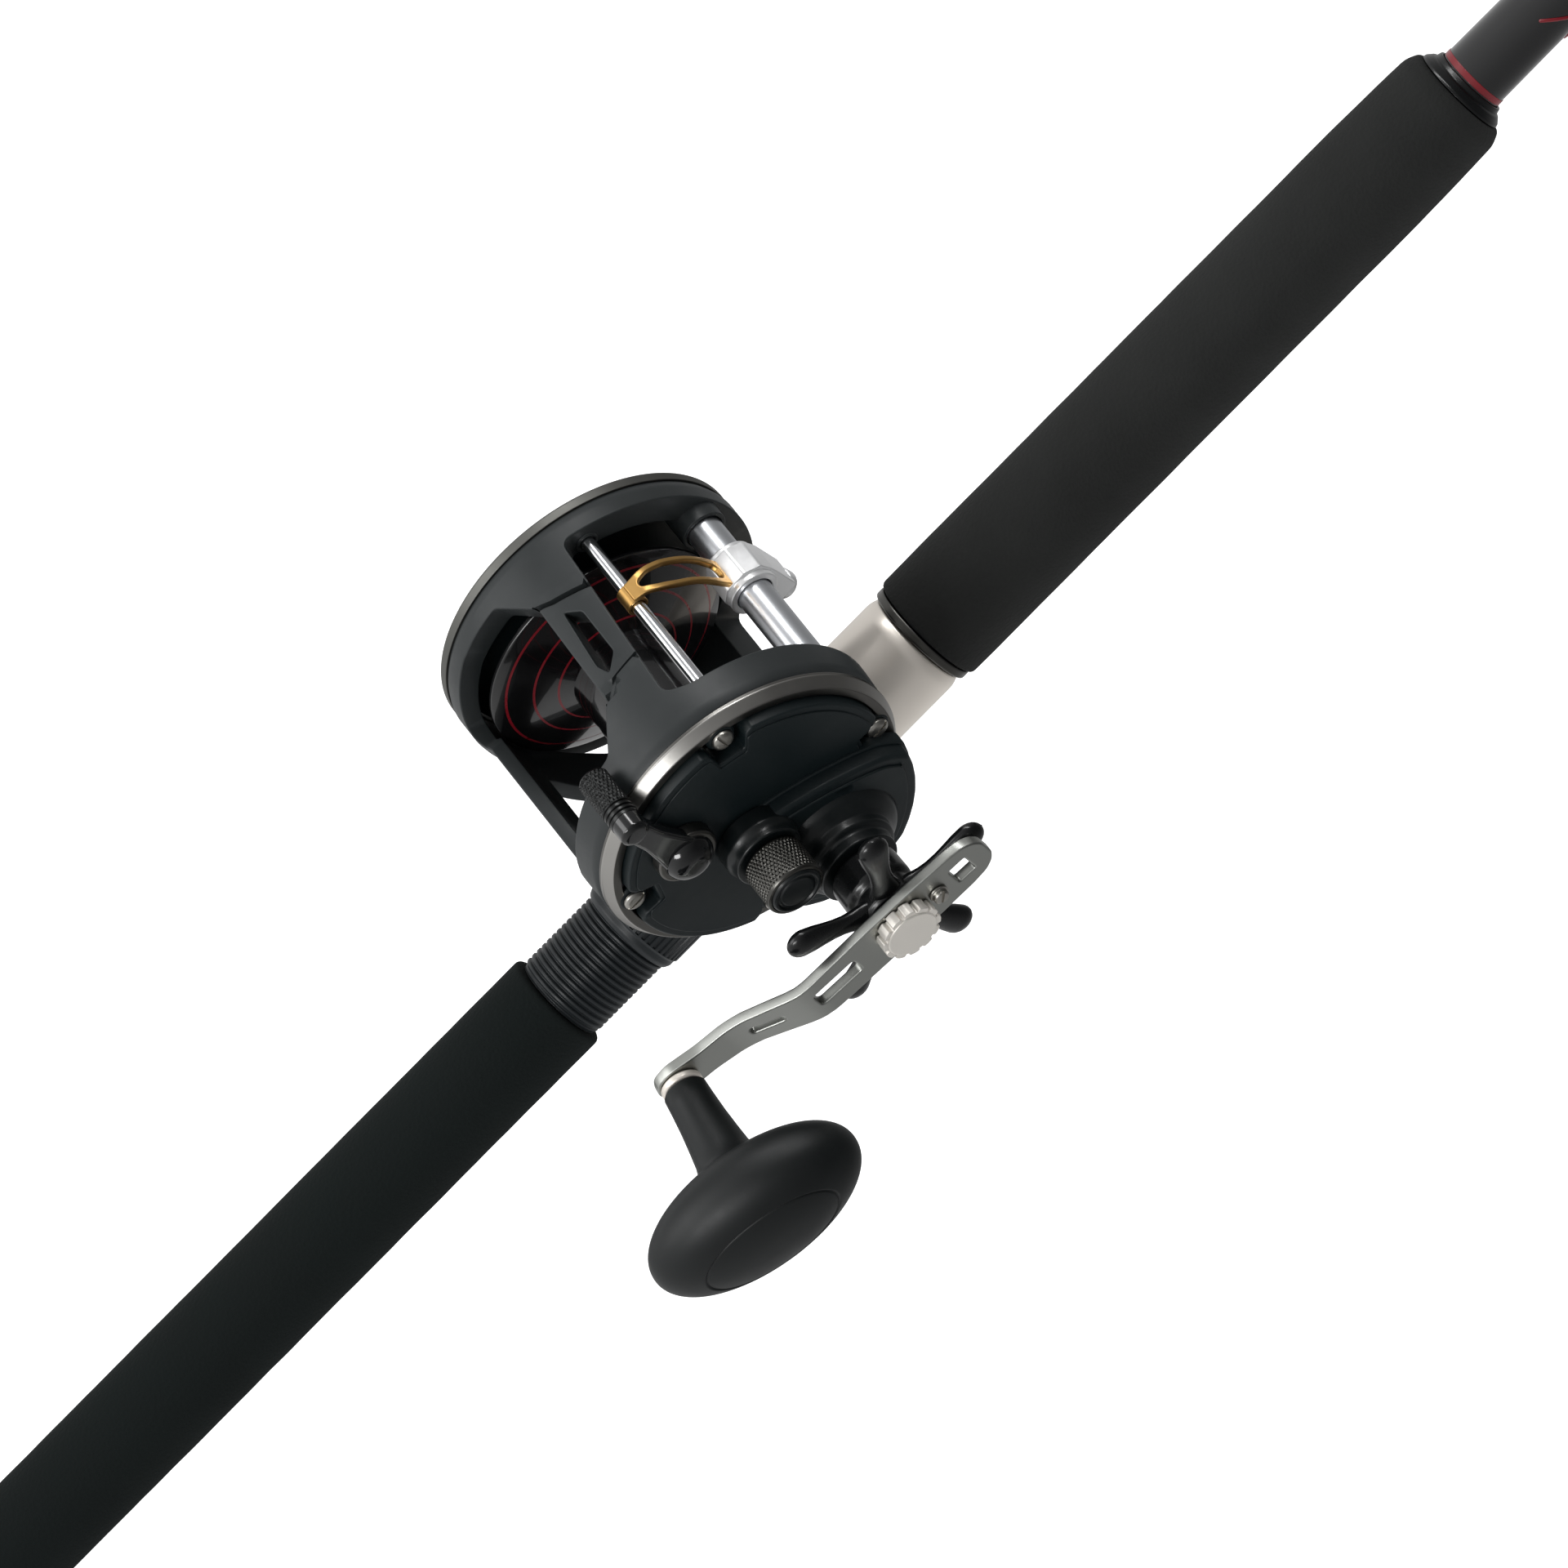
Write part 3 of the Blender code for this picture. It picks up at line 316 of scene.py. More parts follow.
def sheet(name, outline, holes, top, bottom, spacing, matrix=None, bevel=0.35, creases=(), seam=(),
        **options):
    """A thick sheet with rounded edges over a flat outline; top and bottom turn (u, v) into points."""
    loops = []
    for number, loop in enumerate([outline] + list(holes)):
        loop = [Vector(p[:2]) for p in split(loop, spacing, True)]
        area = sum(a.cross(b) for a, b in zip(loop, loop[1:] + loop[:1]))
        loops.append(loop if (area > 0) == (number == 0) else loop[::-1])
    turns = [radians(d) for d in (0, 22, 45, 68, 90)]
    layers = [(1.35 * bevel, 0.0)] + [(bevel * (1 - sin(t)), bevel * (1 - cos(t))) for t in turns]

    def place(p, depth, under):
        start, end = Vector(top(p.x, p.y)), Vector(bottom(p.x, p.y))
        along = (end - start).normalized() * depth
        return end - along if under else start + along

    points, faces, rims = [], [], []
    for loop in loops:
        offsets = mitres(loop, seam)
        rows = [[place(p - n * inset, depth, under) for p, n in zip(loop, offsets)]
            for under in (False, True) for inset, depth in (layers[::-1] if under else layers)]
        base, count = len(points), len(loop)
        points += [p for row in rows for p in row]
        for i in range(count):
            j = (i + 1) % count
            if not (on_seam(loop[i], seam) and on_seam(loop[j], seam)):
                faces += [(base + k * count + i, base + k * count + j, base + (k + 1) * count + j,
                    base + (k + 1) * count + i) for k in range(len(rows) - 1)]
        rims.append([p - n * layers[0][0] for p, n in zip(loop, offsets)])
    flat, edges, cells = [], [], {}
    for rim in rims:
        edges += [(len(flat) + i, len(flat) + (i + 1) % len(rim)) for i in range(len(rim))]
        flat += rim
    border = list(flat)
    for crease in creases:
        line = [Vector(p) for p in split(crease, spacing)]
        for end in (0, -1):
            line[end] = min(border, key=lambda p: (p - line[end]).length).copy()
        edges += [(len(flat) + i, len(flat) + i + 1) for i in range(len(line) - 1)]
        flat += line
    for p in flat:
        cells.setdefault((int(p.x // spacing), int(p.y // spacing)), []).append(p)

    def within(p):
        return inside(p, rims[0]) and not any(inside(p, rim) for rim in rims[1:])
    low = Vector((min(p.x for p in border), min(p.y for p in border)))
    high = Vector((max(p.x for p in border), max(p.y for p in border)))
    for j in range(int((high.y - low.y) / spacing)):
        for i in range(int((high.x - low.x) / spacing)):
            p = low + Vector(((i + (0.5 if j % 2 else 0.0) + 0.25) * spacing, (j + 0.5) * spacing))
            cell = (int(p.x // spacing), int(p.y // spacing))
            near = [q for a in (-1, 0, 1) for b in (-1, 0, 1)
                for q in cells.get((cell[0] + a, cell[1] + b), ())]
            if all((p - q).length > spacing * 0.6 for q in near) and within(p):
                flat.append(p)
    flat, _, triangles, *_ = delaunay_2d_cdt(flat, edges, [], 0, 1e-5)
    kept = [t for t in triangles if within(sum((flat[i] for i in t), Vector((0, 0))) / 3)]
    for under in (False, True):
        base = len(points)
        points += [place(p, 0.0, under) for p in flat]
        faces += [tuple(base + i for i in (reversed(t) if under else t)) for t in kept]
    return solid(name, points, faces, matrix, **options)


def prism(name, outline, z0, z1, matrix, holes=(), spacing=4.0, **options):
    """A flat plate between two heights."""
    return sheet(name, outline, holes, lambda u, v: (u, v, z1), lambda u, v: (u, v, z0), spacing, matrix,
        **options)


def evaluated_mesh(obj):
    bpy.context.view_layer.update()
    return bpy.data.meshes.new_from_object(obj.evaluated_get(bpy.context.evaluated_depsgraph_get()))


def merged(name, parts):
    """One object from several, with the first one's frame."""
    work = bmesh.new()
    home = parts[0].matrix_world.copy()
    for part in parts:
        mesh = evaluated_mesh(part)
        mesh.transform(home.inverted() @ part.matrix_world)
        work.from_mesh(mesh)
        bpy.data.objects.remove(part, do_unlink=True)
    mesh = bpy.data.meshes.new(name)
    work.to_mesh(mesh)
    work.free()
    return placed(name, shaded(mesh), home)


def carve(obj, cutter):
    """Cut the cutter out of the object for good."""
    change = obj.modifiers.new("cut", "BOOLEAN")
    change.operation, change.solver, change.object = "DIFFERENCE", "EXACT", cutter
    mesh = evaluated_mesh(obj)
    obj.modifiers.clear()
    obj.data = shaded(mesh)
    bpy.data.objects.remove(cutter, do_unlink=True)
    return obj


def cast(name, parts, voxel=0.4, smooth=6):
    """Melt overlapping solids into one casting with softly rounded edges."""
    obj = merged(name, parts)
    melt = obj.modifiers.new("melt", "REMESH")
    melt.mode, melt.voxel_size, melt.use_smooth_shade = "VOXEL", voxel * MM, True
    ease = obj.modifiers.new("ease", "SMOOTH")
    ease.factor, ease.iterations = 0.5, smooth
    obj.data = evaluated_mesh(obj)
    obj.modifiers.clear()
    obj.data.shade_smooth()
    return obj


def box(name, low, high, matrix=None):
    """A closed box, used as a cutter."""
    corners = [(x, y, z) for x in (low[0], high[0]) for y in (low[1], high[1]) for z in (low[2], high[2])]
    faces = [(0, 1, 3, 2), (4, 6, 7, 5), (0, 4, 5, 1), (2, 3, 7, 6), (0, 2, 6, 4), (1, 5, 7, 3)]
    return solid(name, corners, faces, matrix)


# --- materials ---

def feed(node, values):
    """Set a node's inputs by name or number, or link them where the value is a socket."""
    for key, value in values.items():
        socket = node.inputs[key.replace("_", " ") if isinstance(key, str) else key]
        if isinstance(value, bpy.types.NodeSocket):
            node.id_data.links.new(value, socket)
        else:
            socket.default_value = value


def material(name, colour, rough, metal=0.0, coat=0.0, vary=0.2, patch=90.0, grain=0.12, fine=2600.0,
        stretch=(1, 1, 1), turned=0.0, cells=0.0, spread=0.06, depth=0.05, edge=0.0, specular=0.5, haze=0.0):
    """Principled shader with patchy colour, uneven gloss, fine surface relief in object space, and with edge
    set a painted highlight that lightens sharp convex edges.
    """
    made = bpy.data.materials.new(name)
    made.use_nodes = True
    nodes = made.node_tree.nodes

    def add_node(kind, output, **values):
        node = nodes.new(kind)
        feed(node, values)
        return node.outputs[output]

    def tint(share, lift=0.0):
        return (*(min(1, c * share) + lift for c in colour), 1)

    def blend(factor, a, b):
        mix = nodes.new("ShaderNodeMix")
        mix.data_type = "RGBA"
        feed(mix, {"Factor": factor, "A": a, "B": b})
        return mix.outputs["Result"]

    def add(a, b):
        total = nodes.new("ShaderNodeMath")
        feed(total, {0: a, 1: b})
        return total.outputs["Value"]

    where = nodes.new("ShaderNodeTexCoord").outputs["Object"]
    broad = add_node("ShaderNodeTexNoise", "Fac", Vector=where, Scale=patch, Detail=4.0, Roughness=0.6)
    stretched = add_node("ShaderNodeMapping", "Vector", Vector=where, Scale=stretch)
    height = add_node("ShaderNodeTexNoise", "Fac", Vector=stretched, Scale=fine, Detail=3.0, Roughness=0.55)
    base = blend(broad, tint(1 - vary), tint(1 + vary, haze))
    # Painted highlight: the edge share makes sharp convex edges lighter.
    if edge:
        corner = nodes.new("ShaderNodeNewGeometry").outputs["Pointiness"]
        painted_edge_highlight = add_node("ShaderNodeMapRange", "Result", Value=corner, From_Min=0.52, From_Max=0.6,
            To_Max=edge)
        base = blend(painted_edge_highlight, base, tint(3, 0.05))
    gloss = add_node("ShaderNodeMapRange", "Result", Value=broad, From_Min=0.3, From_Max=0.7,
        To_Min=max(0.02, rough - spread), To_Max=min(1.0, rough + spread))
    if turned:
        wave = nodes.new("ShaderNodeTexWave")
        wave.wave_type, wave.rings_direction = "RINGS", "Z"
        feed(wave, {"Vector": where, "Scale": turned, "Distortion": 0.6, "Detail": 1.0, "Detail_Scale": 2.0})
        height = add(wave.outputs["Fac"], height)
    if cells:
        height = add(add_node("ShaderNodeTexVoronoi", "Distance", Vector=where, Scale=cells), height)
    bump = add_node("ShaderNodeBump", "Normal", Height=height, Strength=grain, Distance=depth * MM)
    feed(nodes["Principled BSDF"], {"Base Color": base, "Roughness": gloss, "Normal": bump,
        "Metallic": metal, "Coat Weight": coat, "Coat Roughness": 0.04, "Specular IOR Level": specular})
    return made


FOAM = material("eva_foam", (0.0135, 0.0142, 0.0137), 0.93, vary=0.45, patch=26, grain=0.9, fine=1500,
    cells=900, spread=0.04, depth=0.12, specular=0.22, haze=0.004)
FOAM_REAR = material("eva_foam_rear", (0.0048, 0.0072, 0.007), 0.93, vary=0.35, patch=30, grain=0.9,
    fine=1500, cells=900, spread=0.04, depth=0.12, specular=0.18)
RUBBER = material("moulded_rubber", (0.008, 0.008, 0.008), 0.62, vary=0.15, grain=0.5, fine=4200,
    depth=0.04, specular=0.3)
SOFT_TOUCH = material("soft_touch_rubber", (0.0042, 0.0056, 0.006), 0.46, grain=0.6, fine=5200, spread=0.05,
    depth=0.03, specular=0.38)
# GRAPHITE, COVER and GUNMETAL take edge, a painted highlight on their sharp edges.
GRAPHITE = material("graphite_composite", (0.019, 0.0225, 0.0235), 0.44, vary=0.12, grain=0.55, fine=6000,
    depth=0.02, edge=0.1, specular=0.4)
COVER = material("cover_moulding", (0.0052, 0.0092, 0.0105), 0.42, vary=0.14, grain=0.5, fine=6500,
    depth=0.02, edge=0.12, specular=0.3)
HOUSING_BLACK = material("hub_enamel", (0.0036, 0.0056, 0.0062), 0.36, coat=0.12, specular=0.45)
GLOSS = material("black_gloss", (0.0032, 0.0036, 0.004), 0.27, coat=0.15, patch=60, grain=0.05,
    specular=0.45)
SPOOL_BLACK = material("spool_anodise", (0.003, 0.003, 0.0034), 0.2, coat=1.0, grain=0.06, turned=900,
    depth=0.006)
RED = material("red_enamel", (0.17, 0.004, 0.01), 0.3, coat=0.4, vary=0.15, grain=0.08)
STEEL = material("satin_stainless", (0.44, 0.45, 0.425), 0.36, 1.0, vary=0.06, patch=160, grain=0.3,
    fine=1300, stretch=(1, 26, 1), spread=0.04, depth=0.02)
SCREW_STEEL = material("screw_steel", (0.5, 0.485, 0.45), 0.34, 1.0, vary=0.1, grain=0.15, fine=1500,
    depth=0.01)
POLISHED = material("polished_stainless", (0.9, 0.84, 0.765), 0.38, 0.58, vary=0.05, patch=40, fine=420,
    stretch=(1, 1, 14), spread=0.05, depth=0.02)
CHROME = material("chrome", (0.8, 0.81, 0.83), 0.15, 1.0, vary=0.03, patch=70, grain=0.05, fine=900,
    spread=0.03, depth=0.01)
TUBE_PLATE = material("brushed_plating", (0.72, 0.74, 0.77), 0.3, 1.0, vary=0.04, patch=70, grain=0.1,
    turned=900, spread=0.03, depth=0.01)
CASTING = material("plated_casting", (0.88, 0.885, 0.89), 0.34, 0.7, vary=0.05, patch=180, grain=0.25,
    fine=1500, depth=0.02)
TURNED = material("turned_steel", (0.72, 0.69, 0.64), 0.42, 0.55, vary=0.05, grain=0.25, turned=1400,
    depth=0.01)
TRIM = material("trim_satin", (0.17, 0.165, 0.155), 0.34, 1.0, vary=0.06, grain=0.1, turned=700, depth=0.005)
TRIM_BRIGHT = material("trim_bevel", (0.43, 0.42, 0.4), 0.34, 1.0, vary=0.04, grain=0.08, turned=500,
    spread=0.03, depth=0.005)
# Painted shade: a darker, duller copy of the trim for the far ring, which faces away from the light.
TRIM_PAINTED_SHADE = material("trim_painted_shade", (0.15, 0.15, 0.14), 0.5, 1.0, vary=0.06, grain=0.1, turned=700,
    depth=0.005)
LEVER_BLACK = material("lever_black", (0.003, 0.0034, 0.0038), 0.13, coat=0.5, patch=60, grain=0.04)
KNURLED_BLACK = material("knurled_black", (0.04, 0.041, 0.041), 0.3, 1.0, vary=0.1, grain=0.1, spread=0.03)
GUNMETAL = material("gunmetal", (0.105, 0.103, 0.096), 0.3, 1.0, vary=0.08, patch=80, spread=0.03, edge=0.15)
GOLD = material("gold_nitride", (0.58, 0.345, 0.115), 0.38, 1.0, vary=0.06, patch=160, fine=1800, depth=0.02)
BRASS = material("machined_brass", (0.52, 0.38, 0.16), 0.28, 1.0, vary=0.1, grain=0.2, turned=900,
    depth=0.01)
CERAMIC = material("dark_ceramic", (0.02, 0.021, 0.023), 0.1, coat=0.6, vary=0.1, grain=0.03)
CARBON = material("woven_carbon", (0.03, 0.03, 0.032), 0.5, vary=0.4, patch=700, grain=0.6, fine=1500)
BLANK = material("lacquered_blank", (0.004, 0.004, 0.0045), 0.1, coat=1.0, vary=0.25, patch=40, grain=0.04,
    fine=260)
EPOXY = material("wrap_epoxy", (0.006, 0.006, 0.006), 0.08, coat=1.0, vary=0.3, patch=300, grain=0.15,
    fine=500, stretch=(1, 1, 8))
SEAT = material("seat_nylon", (0.0105, 0.0135, 0.0155), 0.42, vary=0.15, grain=0.35, fine=3500, depth=0.02,
    specular=0.42)


def piece(obj, body, slot, looks, *replaced):
    """Give a finished object its materials and its body, and hide the CAD nodes that it stands for. The slot
    is not used.
    """
    for look in looks if isinstance(looks, (list, tuple)) else (looks,):
        obj.data.materials.append(look)
    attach(obj, body)
    if replaced:
        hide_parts(*replaced)
    return obj


def turned(name, profile, matrix, body, slot, looks, *replaced, **options):
    """A finished piece that is one turned solid."""
    return piece(lathe(name, profile, matrix, **options), body, slot, looks, *replaced)


def painted(obj, paint):
    """Give the second material to the faces whose centre passes a test, in local millimetres."""
    for polygon in obj.data.polygons:
        polygon.material_index = int(paint(polygon.center / MM))
    return obj


# --- rod ---

def blank_radius(x):
    """The blank's outer radius, which tapers from the foregrip to the tip."""
    share = max(0.0, (x - GRIP_END) / (ROD_END - GRIP_END))
    return 9.2 - 7.6 * share


def foam(name, profile, look, node):
    """A foam grip: its skin wanders by a tenth of a millimetre."""
    def skin(r, z, angle):
        place = Vector((cos(angle) * 14, sin(angle) * 14, z)) * 0.11
        return (r + 0.1 * noise.noise(place) if r > 10 else r), z
    turned(name, profile, along_rod(), "rod", "foam", look, node, size=1.3, shape=skin, step=4.0)


def make_grips():
    cap = [(0, 0), (13.1, 0, 0.6), (15.6, 2.5, 1.4), (15.6, 9), (15.2, 9.6), (15.6, 10.2), (15.6, 13),
        (15.2, 13.6), (15.6, 14.2), (15.6, 17), (15.2, 17.6), (15.6, 18.2), (15.6, 23.5, 1.0),
        (14.6, 25, 0.8), (9.5, 25), (9.5, 4.5), (0, 4.5)]
    turned("butt_cap_rubber", cap, along_rod(), "rod", "butt_rubber", RUBBER, "butt_cap", size=0.3)
    foam("rear_grip_foam", [(9.5, 25.3, 0.1), (14.4, 25.3), (14.4, 270.8), (9.5, 270.8, 0.1)], FOAM_REAR,
        "rear_grip")
    foam("foregrip_foam", [(9.5, 405.5, 0.1), (16.1, 405.5), (16.1, 571, 8), (15.5, 594.0, 2.0),
        (13.9, 597.5, 1.2), (9.5, 597.5, 0.1)], FOAM, "foregrip")
    check = [(9.5, 597.8), (12.8, 597.8), (12.6, 598.6), (11.4, 600.0), (10.6, 600.4), (10.2, 601.8),
        (9.5, 601.8)]
    turned("winding_check_cone", check, along_rod(), "rod", "gloss_black", GLOSS, "winding_check", size=0.25)


def make_blank():
    butt, tip = 5, 1976
    profile = [(0, butt), *((blank_radius(x), x) for x in (butt, GRIP_END, 1290, tip)), (0, tip)]
    turned("rod_blank_lacquer", profile, along_rod(), "rod", "blank", BLANK, "rod_blank", size=0.1,
        steps=64, step=60)
    bands = ((602.2, 604.0), (672.0, 673.0))
    for number, (start, end) in enumerate(bands, 1):
        r = blank_radius(start)
        ring = section(r - 0.4, r + 0.16, start, end)
        turned(f"butt_band_{number}", ring, along_rod(), "rod", "blank", RED, size=0.12)
    steps, start, length = 96, 626.0, 46
    for number in range(4):
        path = []
        for i in range(steps + 1):
            share = i / steps
            x = start + length * share
            turn = radians(90 * number + 45) + (1 if number % 2 else -1) * share * pi * 1.5
            r = blank_radius(x) + 0.02
            path.append((r * cos(turn), r * sin(turn), x))
        piece(tube(f"diamond_wrap_{number + 1}", path, 0.5, along_rod(), sides=10), "rod", "blank", RED)


def thread_ridge(r, z, angle):
    """A helical ridge with a flat crest."""
    root, height, pitch, start, end = 12.0, 0.72, 1.8, 271.3, 312
    if not root < r < 13.2:
        return r, z
    phase = (z / pitch - angle / tau) % 1.0
    rise = min(1.0, max(0.0, (0.5 - abs(phase - 0.5)) * 4.4 - 0.35))
    fade = min(1.0, max(0.0, (z - start) / 1.5), max(0.0, (end - z) / 1.5))
    return root + height * rise * fade, z


def make_seat():
    line = [(9.5, 271.1), (12.2, 271.1), *((12.3, 271.4 + 0.15 * i, 0) for i in range(264)), (11.9, 311.6),
        (11.9, SEAT_END), (9.5, SEAT_END)]
    turned("reel_seat_thread", line, along_rod(), "rod", "graphite", SEAT, "reel_seat", size=0.15,
        steps=112, shape=thread_ridge, sharp=60)

    def ribs(r, z, angle):
        groove = r > 13.6 and 3.6 < z < 13.6 and angle * 44 / tau % 1.0 < 0.42
        return r - (0.45 if groove else 0.0), z
    nut = [(12.95, 0), (13.3, 0), (13.9, 1.2), (13.9, 2.8), (14.35, 3.3, 0.1), (14.35, 3.7, 0),
        (14.35, 13.5, 0), (14.35, 14.4), (12.95, 14.4)]
    turned("lock_nut_ribbed", nut, along_rod(296.3), "nut", "graphite", SEAT, "lock_nut", size=0.3,
        steps=528, shape=ribs)
    hood = [(14.1, 338), (14.75, 338), (14.75, 313.4), (14.3, 312.9), (14.75, 312.2), (14.4, 311.2),
        (13.1, 311.1), (13.1, 314), (14.1, 314.9)]
    turned("sliding_hood_shell", hood, along_rod(), "hood", "graphite", SEAT, "sliding_hood", size=0.3)
    hood = [(14.1, 366), (14.75, 366, 0.5), (14.75, 399.6, 1.2), (13.9, 402.2, 0.5), (12.2, 402.4),
        (12.2, 396.9), (14.1, 395.9)]
    turned("fixed_hood_shell", hood, along_rod(), "rod", "stainless", POLISHED, "fixed_hood", size=0.25,
        step=4)
    ring = [(9.5, 402.7), (15.2, 402.7, 0.6), (15.2, 405.2, 0.6), (9.5, 405.2)]
    turned("seat_trim_washer", ring, along_rod(), "rod", "gunmetal", GUNMETAL, "seat_trim_ring", size=0.25)


def hoop(radius, centre, matrix):
    path = [(*polar(radius, 7.5 * i, (0, centre)), 0) for i in range(48)]
    return tube("hoop", path, WIRE_R, matrix, sides=14, loop=True)


def lining(name, x, centre, bore, node):
    """The ceramic ring that the line runs through."""
    ring = [(bore, 0), (bore + 0.5, 1.0), (bore + LINING, 1.2), (bore + LINING, -1.2), (bore + 0.5, -1.0)]
    turned(name, ring, along_rod(x, centre), "rod", "ceramic", CERAMIC, node, size=0.4, steps=64)


def make_guide(number, x, bore):
    """A double-foot guide: ring, three legs, and feet under lacquered thread wraps."""
    r = blank_radius(x)
    frame_r = bore + LINING + 0.3 + 0.7
    lift = frame_r + 6.0
    rear, front = -1.3 * lift, 1.3 * lift * 0.55
    centre = r + lift
    foot = r + 0.45
    matrix = along_rod(x)
    parts = [hoop(frame_r, centre, matrix)]
    for side in (1, -1):
        path = curve([(side * 0.8, foot, rear - 9), (side * 1.2, foot + 0.1, rear - 1),
            (side * frame_r * 0.55, foot + lift * 0.38, rear * 0.62),
            (side * frame_r * 0.97, centre - frame_r * 0.2, -0.3)], 24)
        parts.append(tube("leg", path, 0.8, matrix, sides=12))
    path = curve([(0, centre - frame_r - 0.2, 0), (0, foot + lift * 0.25, -rear * 0.32),
        (0, foot + 0.2, front), (0, foot, front + 9)], 20)
    parts.append(tube("front", path, WIRE_R, matrix, sides=12, flat=0.8))
    frame_cast = cast(f"guide_{number}_frame", parts, voxel=0.3, smooth=3)
    piece(frame_cast, "rod", "stainless", POLISHED, f"guide_{number}")
    lining(f"guide_{number}_lining", x, centre, bore, f"guide_ring_{number}")

    def lump(radius, z, angle):
        rise = max(0.0, sin(angle)) ** 3 * 0.9
        return (radius + rise if radius > r else radius), z
    for end, (start, stop) in enumerate(((rear - 11, rear + 1), (front - 1, front + 11)), 1):
        wrap = [(r - 0.3, start), (r + 0.55, start + 1.4, 1.0), (r + 0.55, stop - 1.4, 1.0), (r - 0.3, stop)]
        obj = lathe(f"guide_{number}_wrap_{end}", wrap, matrix, size=0.2, steps=48, shape=lump, step=1)
        painted(obj, lambda c: any(a < c.z < a + 0.7 for a in (start + 1.2, stop - 1.9)))
        piece(obj, "rod", "blank", (EPOXY, RED))


def make_tip_top():
    centre = 4 + 2.8 + 2.1
    matrix = along_rod(TIP_X)
    parts = [hoop(6.4, centre, matrix)]
    for side in (1, -1):
        path = curve([(side * 1.6, 1.2, -15.5), (side * 3.6, 4.6, -6.5), (side * 5.9, centre - 1.2, -0.4)],
            16)
        parts.append(tube("brace", path, 0.7, matrix, sides=12))
    tip = [(0, 1.5), (2.3, 1.5, 0.8), (2.8, 0.7), (2.8, -17.5), (2.0, -17.5), (2.0, -1.7), (0, -1.7)]
    parts.append(lathe("tube", tip, matrix, steps=40))
    piece(cast("tip_top_frame", parts, voxel=0.25, smooth=3), "rod", "stainless", POLISHED, "tip_top")
    lining("tip_ring_lining", TIP_X, centre, 4, "tip_ring")


# --- reel frame and covers ---

def degrees_to_mm(points):
    """Outline points of the frame's skin from (angle, world y) to unrolled millimetres."""
    return [(radians(a) * RING_R, -y, *size) for a, y, *size in points]


def make_frame():
    low, high, wall_r, edge = -35.7, 37.7, 35.2, 2.2
    panel_drop, seam_drop, seam_half = 0.8, 1.9, 0.45
    start, end = radians(-90) * RING_R, radians(270) * RING_R
    outline = [(start, low), (end, low), (end, high), (start, high)]
    front = [(-63.5, 28.6), (72.0, 28.9)]
    front += [(72.0 + (28.9 - y) * 0.0816, y, 0)
        for y in (14.7, 14.45, 13.85, 13.6, -9.8, -10.05, -10.65, -10.9)]
    front = soften(degrees_to_mm(front + [(76.4, -25.0), (68.0, -27.4), (-63.5, -27.4)]), 2.6)
    window = soften(degrees_to_mm([(81.0, 9.4), (81.0, -5.6), (86.6, -9.6), (88.6, -5.8), (86.2, 12.6)]),
        0.9)
    rear = soften(degrees_to_mm([(92.4, 18.6), (93.4, -15.4), (105.0, -26.6), (140, -27.0), (160.0, -26.5),
        (170.0, -24.0), (170.0, 24.0), (160.0, 27.5), (128.0, 29.4), (104.0, 28.6)]), 1.4)
    lower = soften(degrees_to_mm([(191, -25.5), (236, -25.5), (236, 3.5), (225, 7.3), (211, 11.4),
        (205.6, 12.7), (199.5, 14.3), (191, 14.8)]), 1.2)
    crescent = soften(degrees_to_mm([(208, 26.8), (236, 26.8), (236, 17.4), (228, 20.0), (222, 22.1),
        (216, 23.7), (211, 25.2)]), 0.8)
    far_line = [(73.2, 14.15), (87.1, 16.95), (92.5, 18.9)]
    near_line = [(75.2, -10.35), (87.2, -12.05), (93.5, -15.7)]
    panel = degrees_to_mm([(69, 13.4)] + far_line + [(100, 19), (100, -16)] + near_line[::-1] + [(69, -9.5)])
    creases = [degrees_to_mm([(a, y + gap) for a, y in line]) for line in (far_line, near_line)
        for gap in (-0.55, -0.3, 0.3, 0.55)]
    seams = [[Vector(p[:2]) for p in degrees_to_mm(line)] for line in (far_line, near_line)]
    creases += [[(start, v), (end, v)] for v in (low + edge, high - edge)]

    def skin(u, v):
        angle = degrees(u / RING_R)
        radius = RING_R - panel_drop if inside((u, v), panel) else RING_R
        if 73 < angle < 94 and min(distance((u, v), line) for line in seams) < seam_half:
            radius = RING_R - seam_drop
        radius -= max(0.0, edge - min(v - low, high - v)) * 0.4 + 0.6 * (max(0.0, v - 25) / 12.7) ** 2
        if 160 < angle < 200 and -26 < v < 26:
            radius -= 1.5 * min(1.0, (26 - abs(v)) / 3.0)
        return (*polar(radius, angle), v)

    def bore(u, v):
        x, y = polar(wall_r, degrees(u / RING_R))
        return x - 4.0 * max(0.0, -cos(u / RING_R)) + (1.0 if x < -34.4 and abs(v) < 24 else 0.0), y, v

    shell = sheet("frame_shell", outline, [front, window, rear, lower, crescent], skin, bore, 1.8,
        crank_side(), bevel=0.4, creases=creases, seam=(start, end))
    boss = soften([(-20, -38.5), (-20, -42.2), (-14, -43.5), (14, -43.5), (18, -42.6), (18, -38.5)], 0.8)
    parts = [shell, prism("frame_boss", boss, -12, 12, crank_side(), bevel=0.4)]
    for z0, z1, longer in ((-36, -28.5, 4), (29.5, 36.5, 0)):
        seat = section(SHIELD_BORE, 6.2, z0, z1 + longer)
        parts += [lathe("shield_seat", seat, crank_side(WORM_C), steps=48),
            lathe("bar_seat", section(2.2, 3.2, z0, z1), crank_side(BAR_C), steps=40)]
    piece(merged("reel_frame_moulding", parts), "rod", "graphite", GRAPHITE, "reel_frame")


